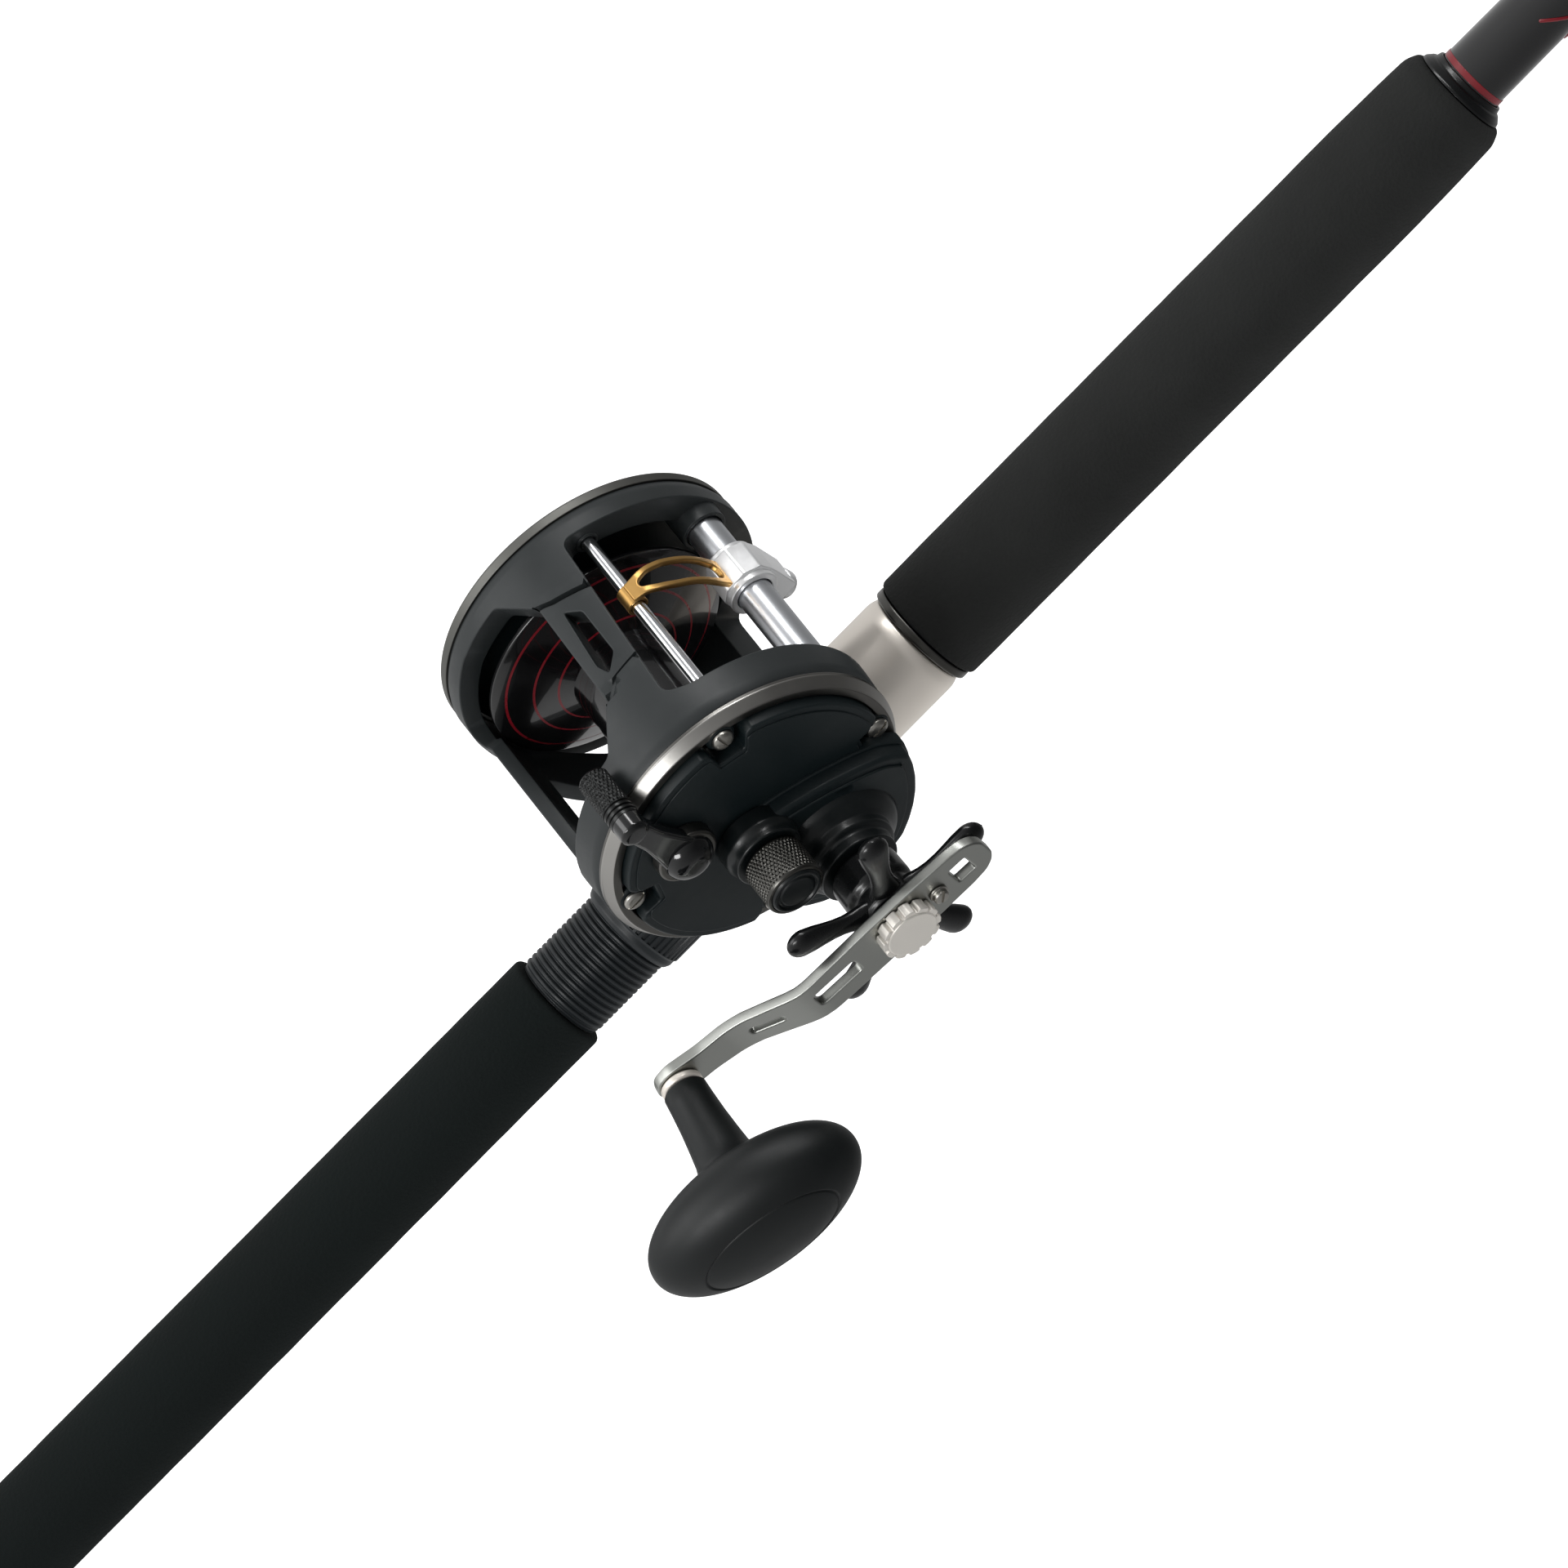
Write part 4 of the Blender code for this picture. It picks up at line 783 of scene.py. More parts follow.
def make_foot():
    """The curved foot plate under the hoods and the stem that carries the frame."""
    outline = soften(mirrored([(-34, -6.4), (-31, -8.4), (-20, -10.4), (20, -10.4), (31, -8.4),
        (34, -6.4)]), 1.6)

    def curved(radius):
        return lambda u, v: (radius * sin(v / 12.6), radius * cos(v / 12.6), u)
    plate = sheet("foot_plate", outline, [], curved(13.7), curved(12.3), 1.5, along_rod(360), bevel=0.3)
    stem = soften(mirrored([(-15, -8), (11, -8)]), 2.4)
    stem = prism("foot_stem", stem, 11.8, REEL_Z - RING_R + 0.6, axes((REEL_X, 0, 0), X, Y, Z), bevel=0.5)
    piece(merged("reel_foot_steel", [plate, stem]), "rod", "stainless", POLISHED, "reel_foot")


def trim_ring(name, matrix, base, face, slope, looks, node):
    """A ring with a bevel of the given height, which takes the second look."""
    inner, outer = 39.0, 43.2
    profile = [(inner, base), (outer, base, 0.2), (outer, face - slope, 0.25),
        (outer - slope * 0.62, face, 0.3), (inner, face, 0.3)]
    obj = lathe(name, profile, matrix, size=0.2, steps=192)
    painted(obj, lambda c: hypot(c.x, c.y) > 41.3 and c.z > face - slope - 0.2)
    piece(obj, "rod", "trim_metal", looks, node)


def make_trim_rings():
    trim_ring("right_trim_satin", crank_side(), 38.0, 42.0, 2.9, (TRIM, TRIM_BRIGHT), "right_trim_ring")
    # The far ring's face and bevel both take the painted-shade copy of the trim.
    trim_ring("left_trim_satin", far_side(), 35.7, 38.6, 0.5, (TRIM_PAINTED_SHADE, TRIM_PAINTED_SHADE), "left_trim_ring")


def slot_cutter(low, high, place, turn):
    """A box that cuts a screw's slot across local z, turned about it."""
    x, y = SCREW_SLOT
    return box("slot", (-x, -y, low), (x, y, high), place @ Matrix.Rotation(turn, 4, "Z"))


def screw(name, angle, base, place, node):
    """A slotted screw head and the dark seat under it."""
    head = [(0, base + 1.75), (2.1, base + 1.6, 0.5), (3.0, base + 0.9, 0.4), (3.0, base + 0.1),
        (2.7, base), (0, base)]
    head = lathe(name, head, place, size=0.25, steps=48)
    slot = slot_cutter(base + 0.8, base + 4, place, radians(angle + 20))
    piece(carve(head, slot), "rod", "stainless", SCREW_STEEL, node)
    seat = [(0, base - 0.05), (3.5, base - 0.05, 0.3), (4.1, base - 0.8), (4.1, base - 2.2), (0, base - 2.2)]
    turned(f"{name}_seat", seat, place, "rod", "cover", COVER, size=0.2, steps=40)


def make_screws():
    for side, angles, base, view in (("right", RIGHT_SCREWS, 42.3, crank_side),
            ("left", LEFT_SCREWS, 38.5, far_side)):
        for index, angle in enumerate(angles, 1):
            place = view(polar(SCREW_R, angle))
            screw(f"{side}_screw_head_{index}", angle, base, place, f"{side}_screw_{index}")


def notched(radius, angles, depth=31.6):
    """A circle with a flat-bottomed notch at each screw, down to a distance from the centre."""
    loop = [(a, polar(radius, a), 0.0) for a in range(0, 360, 2)
        if all(abs((a - b + 180) % 360 - 180) > 12.5 for b in angles)]
    shoulder = 7.4
    half = [(-shoulder, sqrt(radius ** 2 - shoulder ** 2)), (-5.3, depth + 5), (-3.9, depth)]
    for a in angles:
        for across, reach in half + [(-x, y) for x, y in reversed(half)]:
            angle = (a + degrees(atan2(across, reach))) % 360
            loop.append((angle, polar(hypot(across, reach), angle), 0.9))
    return soften([(*place, size) for _, place, size in sorted(loop)], 0.9)


def housing_outline(inset=0.0):
    """The raised gear housing's outline, seen from the crank side, drawn in by the inset."""
    upper = [(-6.7, 8.1, 2), (-0.6, 6.9, 2), (7.4, 4.4, 3), (17.8, -0.8, 3), (27.4, -7.2, 3),
        (33.0, -12.0, 3)]
    front = [(*p, 1) for p in arc(41.0, -16, -60, 7, (-3.2, -7.1))]
    bottom = [(*p, 1) for p in arc(45.5, -76, -84, 2)]
    rear = [(*p, 1) for p in arc(23.0, 250, 150, 9, CRANK_C)]
    loop = [Vector(p) for p in soften((upper + front + bottom + rear)[::-1], 1.0)]
    return [tuple(p - n * inset) for p, n in zip(loop, mitres(loop, ()))]


def make_right_plate():
    matrix = crank_side()
    parts = [prism("disc", notched(38.7, RIGHT_SCREWS), 38.1, 45.0, matrix, spacing=3.0, bevel=0.6),
        prism("step", notched(36.6, RIGHT_SCREWS, 30.4), 44.0, 45.4, matrix, spacing=3.0, bevel=0.25),
        prism("housing_skirt", housing_outline(-0.9), 42.4, 46.4, matrix, spacing=3.0, bevel=0.5),
        prism("housing", housing_outline(), 42.4, 50.5, matrix, spacing=3.0, bevel=1.2),
        prism("housing_crown", housing_outline(3.0), 49.0, 51.1, matrix, spacing=3.0, bevel=0.4)]
    piece(merged("right_plate_moulding", parts), "rod", "cover", COVER, "right_side_plate")
    hub = [(4.0, 49), (17.6, 49), (17.6, 50.8, 0.4), (16.4, 52.6, 0.8), (13.8, 54.2, 1.0),
        (12.9, 55.0, 0.3), (12.6, 57.3, 0.5), (11.2, 58.0, 0.3), (11.0, 58.6), (11.0, 61.4, 0.5),
        (4.0, 61.4, 0.2)]
    hub = lathe("drag_hub", hub, crank_side(CRANK_C), size=0.3)
    boss = [(4.2, 46), (10.4, 46), (10.4, 50.6, 0.4), (9.6, 52.2, 0.8), (9.3, 54.4, 0.5), (4.2, 54.4)]
    boss = lathe("cap_boss", boss, crank_side(SPOOL_C), size=0.3, steps=72)
    piece(merged("drag_hub_enamel", [hub, boss]), "rod", "cover", HOUSING_BLACK)


def make_left_plate():
    matrix = far_side()
    parts = [prism("disc", notched(38.7, [180 - a for a in LEFT_SCREWS]), 36.1, 39.3, matrix, spacing=3.0,
        bevel=0.8)]
    dome = [(0, 41.8), (10.5, 41.8, 1.0), (12.0, 41.3, 0.6), (13.0, 41.3, 0.5), (28.0, 40.4, 1.5),
        (29.2, 39.5, 0.5), (30.4, 39.5, 0.5), (30.4, 38), (0, 38)]
    parts.append(lathe("dome", dome, matrix, size=0.4))
    cap = [(0, 42.6), (7.6, 42.6, 0.9), (8.8, 41.6, 0.3), (8.8, 40), (0, 40)]
    parts.append(lathe("boss", cap, far_side(SPOOL_C), size=0.3, steps=72))
    piece(merged("left_plate_moulding", parts), "rod", "cover", COVER, "left_side_plate")
    turned("left_bearing_housing", section(3.6, 8.0, 32.8, 36.5), far_side(SPOOL_C), "rod", "cover", COVER,
        steps=48)

    def ribs(r, z, angle):
        wave = (angle * 24 / tau) % 1.0
        return (r - 0.3 if r > 4.2 and wave < 0.4 else r), z
    button = [(0, 48), (3.2, 48, 0.8), (4.2, 47.4, 0.5), (4.6, 46.6), (4.6, 45.2), (4.2, 44.9), (2.2, 44.8),
        (2.2, 36.6), (0, 36.6)]
    turned("click_button_ribbed", button, far_side(CLICK_C), "click", "gunmetal", GUNMETAL, "click_button",
        size=0.25, steps=192, shape=ribs)
    collar = [(2.7, 41.9), (6.4, 41.9, 0.4), (6.9, 41.0), (6.9, 39.8), (2.7, 39.8)]
    turned("click_collar", collar, far_side(CLICK_C), "rod", "cover", COVER, steps=64)


# --- reel: moving pieces ---

def make_rails():
    turned("guide_bar_rod", section(0, 1.9, -30.4, 30.4), crank_side(BAR_C), "rod", "chrome", CHROME,
        "guide_bar", size=0.3, steps=48, step=6)
    shield = lathe("worm_shield_tube", section(3.7, 4.75, -30.4, 30.6), crank_side(WORM_C), size=0.2,
        steps=96, step=10)
    slot = box("slot", (-1.55, -8, -20.5), (1.55, -1, 20.5),
        crank_side(WORM_C) @ Matrix.Rotation(radians(20), 4, "Z"))
    piece(carve(shield, slot), "rod", "chrome", TUBE_PLATE, "worm_shield")

    def crossed(r, z, angle):
        if r < 2.9 or not -23 < z < 29:
            return r, z
        turn = angle / tau
        near = min(abs((z / 7.0 + side * turn) % 1.0 - 0.5) for side in (-1, 1))
        return r - 0.8 * max(0.0, 1 - near * 7.0) ** 0.6, z
    worm = [(0, -30), (2, -30), (2, -24), (3.1, -23), (3.1, 29.4), (2, 30.3), (2, 36.4), (0, 36.4)]
    turned("worm_crossed_thread", worm, crank_side(WORM_C), "worm", "stainless", STEEL, "worm_shaft",
        size=0.2, steps=64, shape=crossed, step=0.4)


def make_spool():
    bands = ((30.0, 0.32), (23.2, 0.3), (17.2, 0.28))

    def flange_z(r):
        return 24.0 - (33.0 - r) * 0.338 if r > 20 else 19.6 - (20 - r) * 0.37

    def flange(sign):
        points = [(33.0, 24.0)]
        for r, half in bands:
            points += [(r + half, flange_z(r + half)), (r - half, flange_z(r - half))]
        points.append((13.5, flange_z(13.5)))
        return [(r, sign * z, 0) for r, z in points]
    rim = [(33.6, 24.3, 0.2), (33.6, 25.4, 0.3), (32.6, 25.7, 0.4), (31.0, 24.9, 0.5), (9.0, 24.6, 0.8),
        (7.0, 28.0, 0.4), (3.3, 28.0, 0.2)]
    profile = rim[::-1] + flange(1) + flange(-1)[::-1] + [(r, -z, s) for r, z, s in rim]
    spool = lathe("spool_anodised", profile, crank_side(SPOOL_C), size=0.2, steps=160)

    def paint(centre):
        r = hypot(centre.x, centre.y)
        return abs(centre.z) < 24.1 and any(abs(r - band) < half for band, half in bands)
    piece(painted(spool, paint), "spool", "anodised_spool", (SPOOL_BLACK, RED), "spool")
    pin = [(0, 14.6), (0.9, 14.6), (1.3, 14.1), (1.3, 12.5), (0, 12.5)]
    turned("line_pin", pin, axes(on_reel(SPOOL_C, 3.0), X, OUT, DOWN), "spool", "stainless", CHROME,
        steps=32)


def make_carriage():
    y = -CARRIAGE_Y
    matrix = crank_side(WORM_C)
    sleeve = [(5.05, y - 6.5), (6.6, y - 6.5, 0.5), (6.8, y + 6.5, 0.5), (5.05, y + 6.5)]
    parts = [lathe("sleeve", sleeve, matrix, size=0.3, steps=72)]
    pawl = on_reel((WORM_C[0] + 4.2, WORM_C[1]), -(y + 0.8))
    cap = [(0, 15.6), (3.0, 15.6, 0.6), (3.8, 15.0, 0.4), (3.8, 12.0), (3.2, 11.6), (0, 11.6)]
    parts.append(lathe("pawl_cap", cap, axes(pawl, X, OUT, DOWN), size=0.3, steps=60))
    ear = soften([(-6.8, -3.0), (-6.6, 4.0), (-3.6, 7.2), (2.6, 7.4), (6.8, 4.4), (7.6, -1.0), (7.4, -12.8),
        (1.0, -13.4), (-1.6, -7.0)], 0.5)
    parts.append(prism("saddle", ear, y - 4.7, y + 4.7, matrix, holes=[arc(5.05, 0, 352, 45)], spacing=2,
        bevel=0.3))
    piece(merged("carriage_casting", parts), "carriage", "chrome", CASTING, "guide_carriage")

    bx, by = BAR_C[0] - WORM_C[0], BAR_C[1] - WORM_C[1]
    clip = section(2.15, 2.9, y - 2.9, y + 2.9)
    gold = [lathe("bail_sleeve", clip, crank_side(BAR_C), size=0.2, steps=48)]
    path = [Vector(p) for p in curve([(bx + 0.6, by + 2.5), (bx + 5.6, by + 1.5), (bx + 10.6, by - 3.4),
        (bx + 14.9, by - 11.0), (bx + 17.9, by - 22.8)], 60)]
    lengths = [0.0]
    for a, b in zip(path, path[1:]):
        lengths.append(lengths[-1] + (b - a).length)
    reach = lengths[-1]

    def strap(sign):
        def place(u, v):
            i = max(1, min(len(path) - 1, sum(1 for d in lengths if d < u)))
            along = path[i] - path[i - 1]
            spot = path[i - 1] + along * (u - lengths[i - 1]) / along.length
            return (*(spot + Vector((-along.y, along.x)).normalized() * 0.8 * sign), v + y)
        return place
    edge = [(0, -2.8, 0.4), (2.6, -3.0), (7, -4.2), (12, -4.8), (reach - 6, -4.8), (reach - 1.5, -4.3),
        (reach, -3.9, 0.4)]
    slit = [(3.9, 1.1), (7.0, 2.4), (12, 3.1), (reach - 9, 3.1), (reach - 4.4, 2.5), (reach - 3.4, 1.2)]
    eye = soften([(3.4, 0.0)] + mirrored(slit), 0.8)
    gold.append(sheet("bail_strap", soften(mirrored(edge), 1.2), [eye], strap(1), strap(-1), 1.0, matrix,
        bevel=0.45))
    piece(merged("line_guide_gold", gold), "carriage", "gold", GOLD, "line_guide")


def make_drive():
    shaft = [(0, 40), (3.5, 40), (3.5, 81.6), (2.5, 82.2), (2.5, 85.2), (0, 85.2)]

    def thread(r, z, angle):
        phase = (z / 0.8 - angle / tau) % 1.0
        return (r - 0.25 * abs(phase - 0.5) * 2 if r > 3.3 and 60 < z < 81 else r), z
    turned("crank_shaft", shaft, crank_side(CRANK_C), "crank", "stainless", STEEL, "drive_shaft", size=0.3,
        steps=48, shape=thread, step=0.25)


def make_star():
    matrix = crank_side(CRANK_C)
    hub = [(3.8, 62.0), (8.4, 62.0, 0.5), (9.4, 63.0, 0.4), (9.6, 70.5, 0.8), (8.4, 72.2), (8.6, 77.0),
        (7.8, 78.2), (3.8, 78.2)]
    parts = [lathe("hub", hub, matrix, size=0.4, steps=96)]
    tip_r, tip_w = 26.2, 4.25
    widths = [(5.0, 4.8), (8.0, 4.4), (9.5, 3.9), (11.5, 3.3), (14.0, 3.0), (17.0, 3.1), (20.0, 3.5),
        (23.0, 4.0), (tip_r, tip_w)]
    widths += [(tip_r + 4.3 * sin(radians(t)), tip_w * cos(radians(t)))
        for t in (15, 30, 45, 58, 70, 80, 87)]
    for k in range(5):
        path = [(*polar(reach, STAR_TURN + 72 * k), STAR_Z + 0.03 * reach) for reach, _ in widths]
        parts.append(tube("star_arm", path, [w for _, w in widths], matrix, sides=32, flat=0.62))
    piece(merged("star_drag_wheel", parts), "star", "gloss_black", GLOSS, "star_drag")


def arm_frame():
    """Local x runs from the crank axis to the knob, local z out of the crank side."""
    turn = pi + ARM_RISE
    along = Vector((cos(turn), 0, -sin(turn)))
    return axes(on_reel(CRANK_C, ARM_Y), along, Vector(OUT).cross(along), OUT)


def arm_height(x):
    """Local height of the bent arm's middle at a distance from the crank axis."""
    start, end = ARM_BEND
    tilt = tan(KNOB_TILT)
    stations = [(-30, 0.0), (start - 3, 0.0), (start, -0.35), (start + 3, -1.4), (end - 3, -6.5),
        (end, -ARM_JOGGLE + 0.35), (end + 3, -ARM_JOGGLE - 3 * tilt), (90, -ARM_JOGGLE - (90 - end) * tilt)]
    for (x0, h0), (x1, h1) in zip(stations, stations[1:]):
        if x <= x1:
            return h0 + (h1 - h0) * (x - x0) / (x1 - x0)
    return stations[-1][1]


def make_arm():
    heel = [(-28.2, -3.0, 2.5), (-26.8, -5.6, 2.5), (-24, -7.6, 2.5), (-19, -8.4), (-6, -8.8)]
    toe = [(60, -5.6), (ARM_SWING, -6.2), (ARM_SWING + 4.6, -4.4)]
    outline = soften(heel + [(8, -8.6), (40, -7.0)] + toe + [(ARM_SWING + 6.4, 0)] + flipped(toe)
        + [(40, 7.3), (26, 8.8), (8, 8.9)] + flipped(heel), 1.6)
    slots = ((15.5, 29, 2.9, 1.2), (37.8, 46.8, 1.5, 1.0), (-22.4, -17, 3.4, 0.6))
    holes = [soften([(x0, -half), (x0, half), (x1, half), (x1, -half)], corner)
        for x0, x1, half, corner in slots]
    holes += [arc(3.8, 0, 350, 36), arc(2.6, 0, 345, 24, (ARM_SWING, 0))]

    def face(sign):
        def place(u, v):
            tilt = atan(arm_height(u + 0.5) - arm_height(u - 0.5))
            return (u - sign * 1.5 * sin(tilt), v, arm_height(u) + sign * 1.5 * cos(tilt))
        return place
    arm = sheet("crank_arm_plate", outline, holes, face(1), face(-1), 1.4, arm_frame(), bevel=0.5)
    piece(arm, "crank", "stainless", STEEL, "handle_arm")


def make_nut():
    outline = []
    for notch in range(12):
        a = 30.0 * notch
        outline += [polar(8.4, a - 10), polar(8.5, a), polar(8.4, a + 10), polar(7.3, a + 12.5),
            polar(7.3, a + 17.5)]
    top = 82.3
    nut = prism("rim", soften(outline, 0.35), top, top + 3.6, crank_side(CRANK_C), spacing=1.5, bevel=0.22)
    face = [(0, top + 4.0), (6.9, top + 4.0, 0.3), (7.2, top + 3.4), (0, top + 3.0)]
    face = lathe("face", face, crank_side(CRANK_C), size=0.2)
    piece(merged("crank_nut_polished", [nut, face]), "crank", "stainless", TURNED, "handle_nut")
    place = arm_frame() @ Matrix.Translation((-11.4 * MM, 0, 0))
    base = 1.8
    head = [(0, base + 2.1), (1.8, base + 2.0, 0.5), (2.1, base + 1.6), (2.1, base + 0.5),
        (2.6, base + 0.4, 0.1), (2.6, base - 0.1), (0, base - 0.1)]
    obj = lathe("lock_screw_head", head, place, size=0.2, steps=48)
    slot = slot_cutter(base + 1.4, base + 4, place, 0.9)
    piece(carve(obj, slot), "crank", "stainless", SCREW_STEEL, "nut_lock_screw")


def knob_frame():
    home = arm_frame()
    spin = home.to_3x3()
    axis = (spin @ Vector((sin(KNOB_TILT), 0, cos(KNOB_TILT)))).normalized()
    along = spin @ Vector(X)
    along = (along - axis * along.dot(axis)).normalized()
    drop = ARM_JOGGLE + (ARM_SWING - ARM_BEND[1]) * tan(KNOB_TILT)
    origin = home @ (Vector((ARM_SWING, 0, -drop)) * MM)
    return axes(origin / MM, along, axis.cross(along), axis)


def make_knob():
    matrix = knob_frame()
    shaft = [(0, 30), (2.3, 30), (2.3, 3.9), (5.2, 3.9, 0.4), (5.6, 3.4), (5.6, 2.2), (5.2, 1.8, 0.4),
        (2.2, 1.7), (2.2, -1.7), (3.9, -1.8, 0.2), (3.7, -2.6, 0.6), (2.6, -3.2, 0.6), (0, -3.3)]
    turned("knob_collar", shaft, matrix, "crank", "stainless", POLISHED, "knob_shaft", size=0.2, steps=64)
    half_x, half_y, half_z, middle = 31, 19, 13.2, 44.0
    stem = [(2.8, 31.0, 2.8), (2.8, 4.1, 2.8), (5.2, 4.1, 5.2), (5.8, 4.7, 5.8), (6.0, 9, 6.0),
        (6.4, 15, 6.4), (7.0, 21, 7.0), (7.6, 26, 7.5), (8.4, 29.2, 8.1), (10.2, 31.4, 9.2),
        (14.0, 32.8, 11.2)]
    rows = [(a, b, z) for a, z, b in stem]
    for k in range(1, 64):
        lat = radians(-62 + 152 * k / 64)
        wide = abs(cos(lat)) ** 0.86
        rows.append((half_x * wide, half_y * wide, middle + half_z * copysign(abs(sin(lat)) ** 0.95, lat)))
    fine = []
    for (a0, b0, z0), (a1, b1, z1) in zip(rows, rows[1:]):
        parts = 5 if 0.52 < a1 / half_x < 0.72 and z1 > middle else 1
        pairs = ((a0, a1), (b0, b1), (z0, z1))
        fine += [tuple(p + (q - p) * i / parts for p, q in pairs) for i in range(parts)]
    fine.append((0.001, 0.001, middle + half_z))
    out = []
    for a, b, z in fine:
        groove = exp(-((a / half_x - 0.635) / 0.012) ** 2) * 0.55 if z > middle else 0.0
        sink = 0.18 if z > middle and a / half_x < 0.62 else 0.0
        out.append([(a * cos(t), b * sin(t), z - groove - sink)
            for t in (tau * i / 160 for i in range(160))])
    piece(rings("knob_soft_touch", out, matrix, sharp=70), "knob", "knob", SOFT_TOUCH, "handle_knob")


def knurl(r, z, angle, count, pitch, depth):
    turn = angle * count / tau
    a, b = (turn + z / pitch) % 1.0, (turn - z / pitch) % 1.0
    return r - depth * (1 - min(1.0, 3.2 * min(a, 1 - a, b, 1 - b)))


def make_lever():
    matrix = crank_side(LEVER_C)
    hub = [(0, 53.4), (3.4, 53.2, 1.5), (5.6, 52.0, 1.5), (6.9, 49.9, 1.0), (6.9, 46.0), (0, 46.0)]
    parts = [lathe("hub", hub, matrix, size=0.8, steps=80)]
    x, y = LEVER_KNOB[0] - LEVER_C[0], LEVER_KNOB[1] - LEVER_C[1]
    widths = [(-0.12, 3.0), (0.1, 5.9), (0.35, 4.6), (0.62, 3.5), (0.9, 3.4), (1.06, 2.6)]
    web = soften([(x * t + side * half, y * t) for side, row in ((1, widths), (-1, widths[::-1]))
        for t, half in row], 1.5)
    parts.append(prism("web", web, 45.9, 50.2, matrix, spacing=1.2, bevel=1.1))
    tip = [(0, 51.6), (2.9, 51.5, 0.6), (4.0, 50.6, 0.4), (4.0, 45.9), (0, 45.9)]
    parts.append(lathe("tip", tip, crank_side(LEVER_KNOB), size=0.4, steps=48))
    piece(merged("freespool_lever_arm", parts), "lever", "gloss_black", LEVER_BLACK, "freespool_lever")
    # Painted reflection: a grey metal disc wider than the hub stands in for the floor's reflection on the
    # hub's lower side.
    disc = [(0, 49.4), (7.9, 49.4, 0.3), (8.4, 48.9), (8.4, 45.6), (0, 45.6)]
    turned("lever_disc_painted_reflection", disc, matrix, "lever", "trim_metal", TRIM, size=0.2, steps=80)

    def shape(r, z, angle):
        return (knurl(r, z, angle, 22, 2.2, 0.42) if r > 3.9 and 30.8 < z < 41.6 else r), z
    knob = [(0, 29.6), (3.4, 29.6, 0.6), (4.2, 30.6, 0.2), (4.2, 41.8, 0.1), (3.7, 42.1), (4.1, 42.4),
        (4.1, 43.2), (3.6, 43.5), (4.1, 43.8), (4.1, 44.6), (3.6, 44.9), (4.1, 45.2), (4.1, 46.2), (0, 46.2)]
    turned("lever_thumb_knob", knob, crank_side(LEVER_KNOB), "lever", "gunmetal", KNURLED_BLACK,
        "lever_knob", size=0.12, steps=208, shape=shape, step=0.24, sharp=60)


def make_cap():
    def shape(r, z, angle):
        return (knurl(r, z, angle, 46, 2.1, 0.36) if r > 8.0 and 56.0 < z < 66.0 else r), z
    cap = [(0, 51.5), (3.3, 51.5), (3.3, 55.0), (7.4, 55.0), (8.2, 55.8, 0.2), (8.2, 66.2, 0.2),
        (7.9, 66.8), (7.2, 67.0, 0.2), (7.0, 66.4), (0, 66.4)]
    turned("tension_cap_knurled", cap, crank_side(SPOOL_C), "cap", "gunmetal", GUNMETAL, "tension_cap",
        size=0.15, steps=336, shape=shape, step=0.22, sharp=60)
    badge = [(0, 67.5), (4.6, 67.5, 0.25), (5.0, 67.0, 0.15), (5.6, 66.9, 0.15), (6.0, 67.6, 0.2),
        (6.6, 67.6, 0.3), (7.1, 66.9), (7.1, 66.0), (0, 66.0)]
    turned("tension_cap_insert", badge, crank_side(SPOOL_C), "cap", "gunmetal", HOUSING_BLACK, size=0.2,
        steps=96)


def finish_inner_nodes():
    """CAD nodes that stay: only their finish is made here."""
    for look, names in ((STEEL, ("left_bearing", "right_bearing", "spool_shaft")),
            (CARBON, ("drag_washer",)), (BRASS, ("pinion_gear", "drive_gear", "idler_gear", "worm_gear"))):
        for name in names:
            mesh = NODES[name].data
            mesh.materials.clear()
            mesh.materials.append(look)


# --- stage, in metres ---

def aimed(name, data, direction, place=(0, 0, 0)):
    obj = placed(name, data)
    obj.location = place
    obj.rotation_mode = "QUATERNION"
    obj.rotation_quaternion = direction.to_track_quat("-Z", "Y")
    return obj


def area_light(name, place, target, size, height, power):
    light = bpy.data.lights.new(name, "AREA")
    light.shape, light.size, light.size_y, light.energy = "RECTANGLE", size, height, power
    aimed(name, light, Vector(target) - Vector(place), place).visible_camera = False


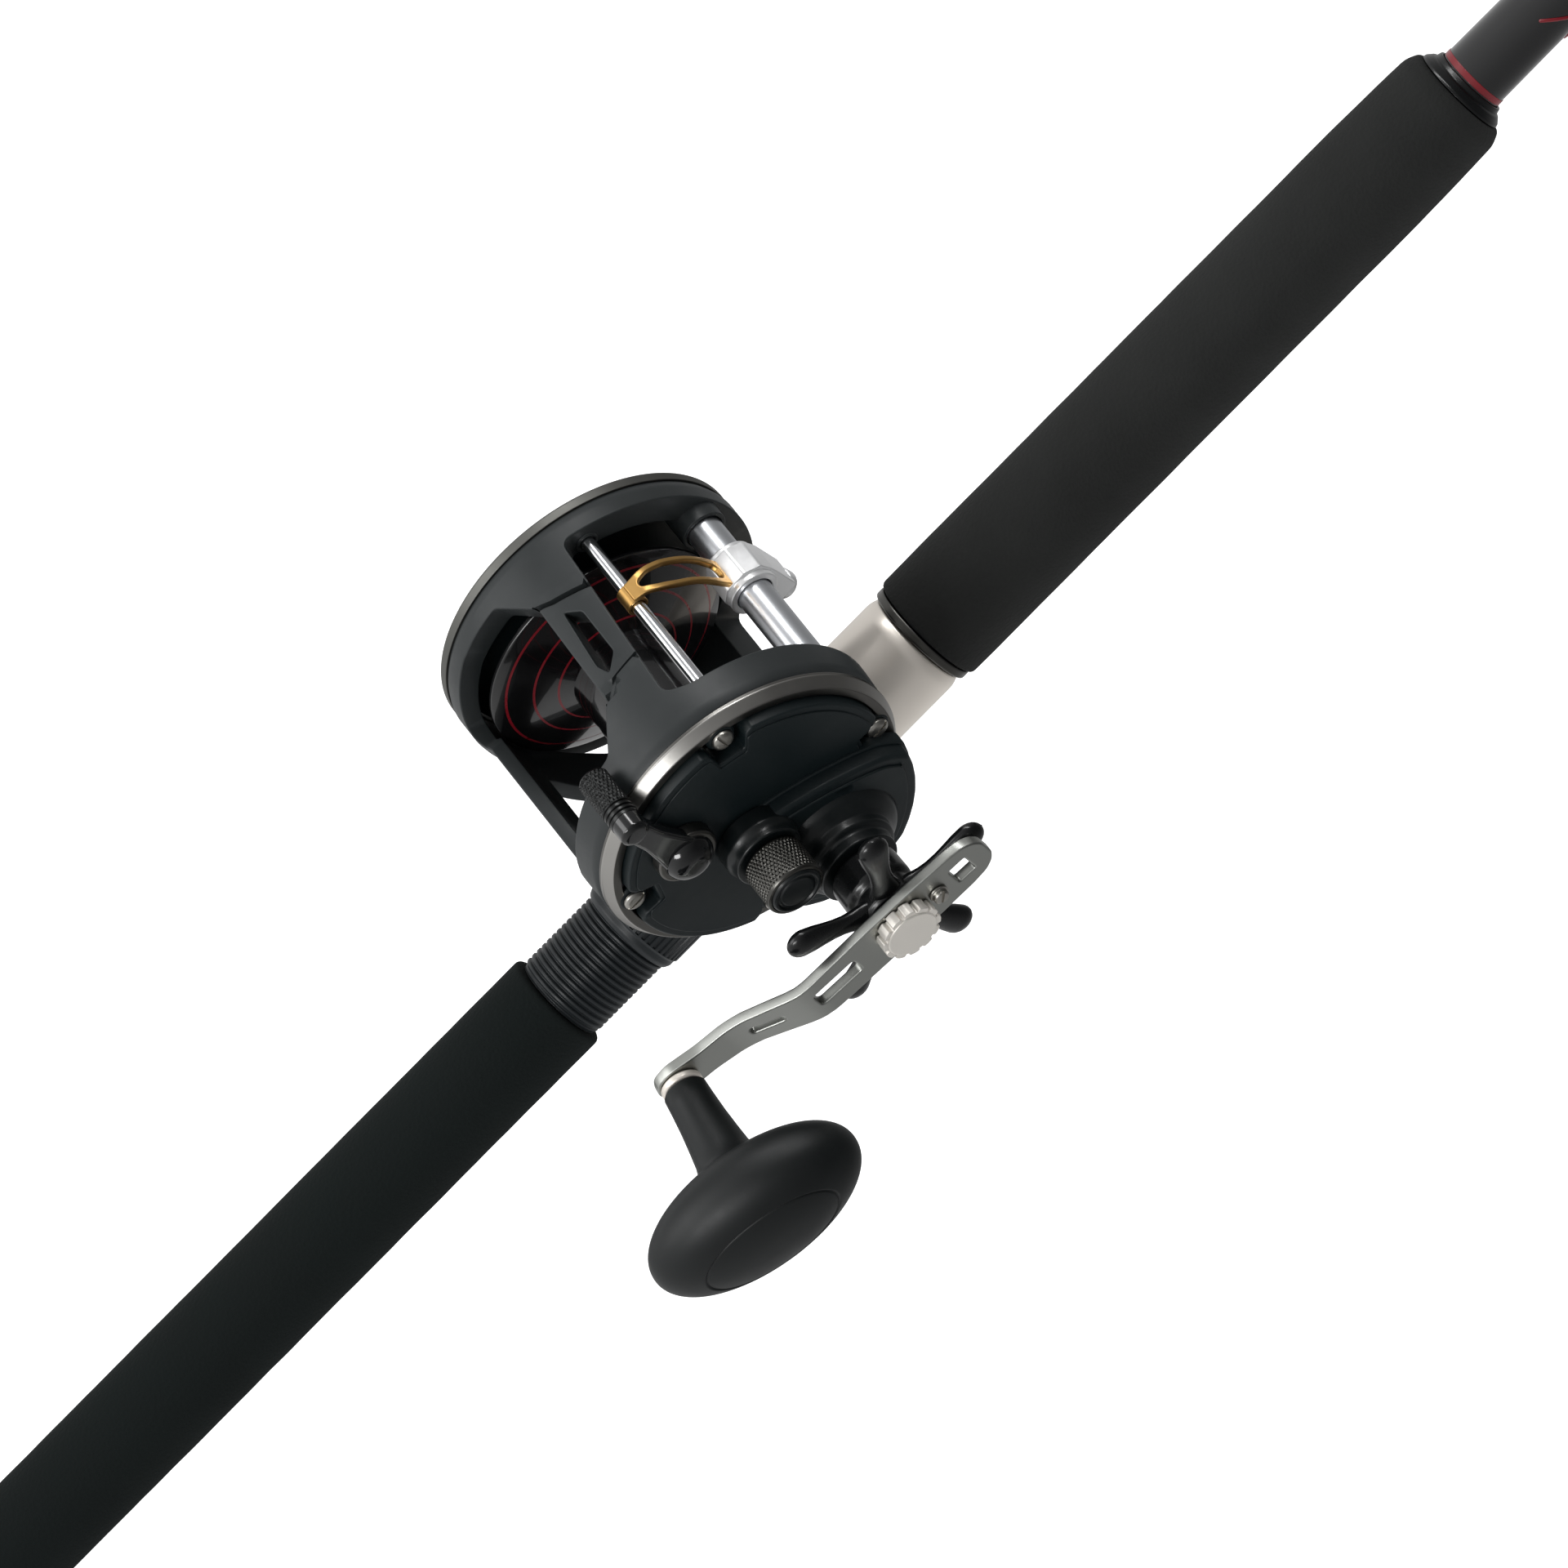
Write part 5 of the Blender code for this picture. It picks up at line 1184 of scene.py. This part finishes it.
def make_stage():
    floor_z, half, white = -0.45, 90.0, (1, 1, 1, 1)
    floor = bpy.data.meshes.new("floor")
    corners = [(x, y, floor_z) for x, y in ((-half, -half), (half, -half), (half, half), (-half, half))]
    floor.from_pydata(corners, [], [(0, 1, 2, 3)])
    obj = placed("floor", floor)
    pale = bpy.data.materials.new("pale_floor")
    pale.use_nodes = True
    feed(pale.node_tree.nodes["Principled BSDF"], {"Base Color": (0.85, 0.85, 0.85, 1), "Roughness": 0.9,
        "Emission Color": white, "Emission Strength": 0.68})
    floor.materials.append(pale)
    obj.visible_glossy = False

    world = bpy.data.worlds.new("studio")
    bpy.context.scene.world = world
    world.use_nodes = True
    nodes = world.node_tree.nodes
    towards = nodes.new("ShaderNodeVectorMath")
    towards.operation = "DOT_PRODUCT"
    feed(towards, {0: nodes.new("ShaderNodeTexCoord").outputs["Generated"], 1: (-0.85, 0.5, 0.15)})
    fade = nodes.new("ShaderNodeMapRange")
    feed(fade, {"Value": towards.outputs["Value"], "From Min": -0.9, "From Max": 0.9, "To Min": 0.07,
        "To Max": 0.75})
    feed(nodes["Background"], {"Color": white, "Strength": fade.outputs["Result"]})
    sun = bpy.data.lights.new("sky_panel", "SUN")
    sun.energy, sun.angle = 0.9, radians(40)
    aimed("sky_panel", sun, Vector((0.5, -0.35, -0.8)))
    reel = (0.354, 0, 0.05)
    area_light("key", (-0.15, -0.55, 1.0), reel, 0.5, 0.3, 5)
    area_light("strip", (0.95, 0.35, 0.75), reel, 0.9, 0.15, 4)
    bpy.context.scene.view_settings.view_transform = "Standard"


def make_camera():
    """A long lens from above the crank side, at the photograph's viewing angle."""
    data = bpy.data.cameras.new("camera")
    data.sensor_width, data.lens = 36, 450
    data.clip_start, data.clip_end = 0.1, 100
    camera = placed("camera", data)
    camera.location = (1.2251, -2.6693, 4.089)
    camera.rotation_euler = (0.3275, 0.514, -0.6496)
    bpy.context.scene.camera = camera


make_camera()
make_stage()
make_grips()
make_blank()
make_seat()
for index, (station, guide_bore) in enumerate(GUIDES, 1):
    make_guide(index, station, guide_bore)
make_tip_top()
make_frame()
make_foot()
make_trim_rings()
make_screws()
make_right_plate()
make_left_plate()
make_rails()
make_spool()
make_carriage()
make_drive()
make_star()
make_arm()
make_nut()
make_knob()
make_lever()
make_cap()
finish_inner_nodes()
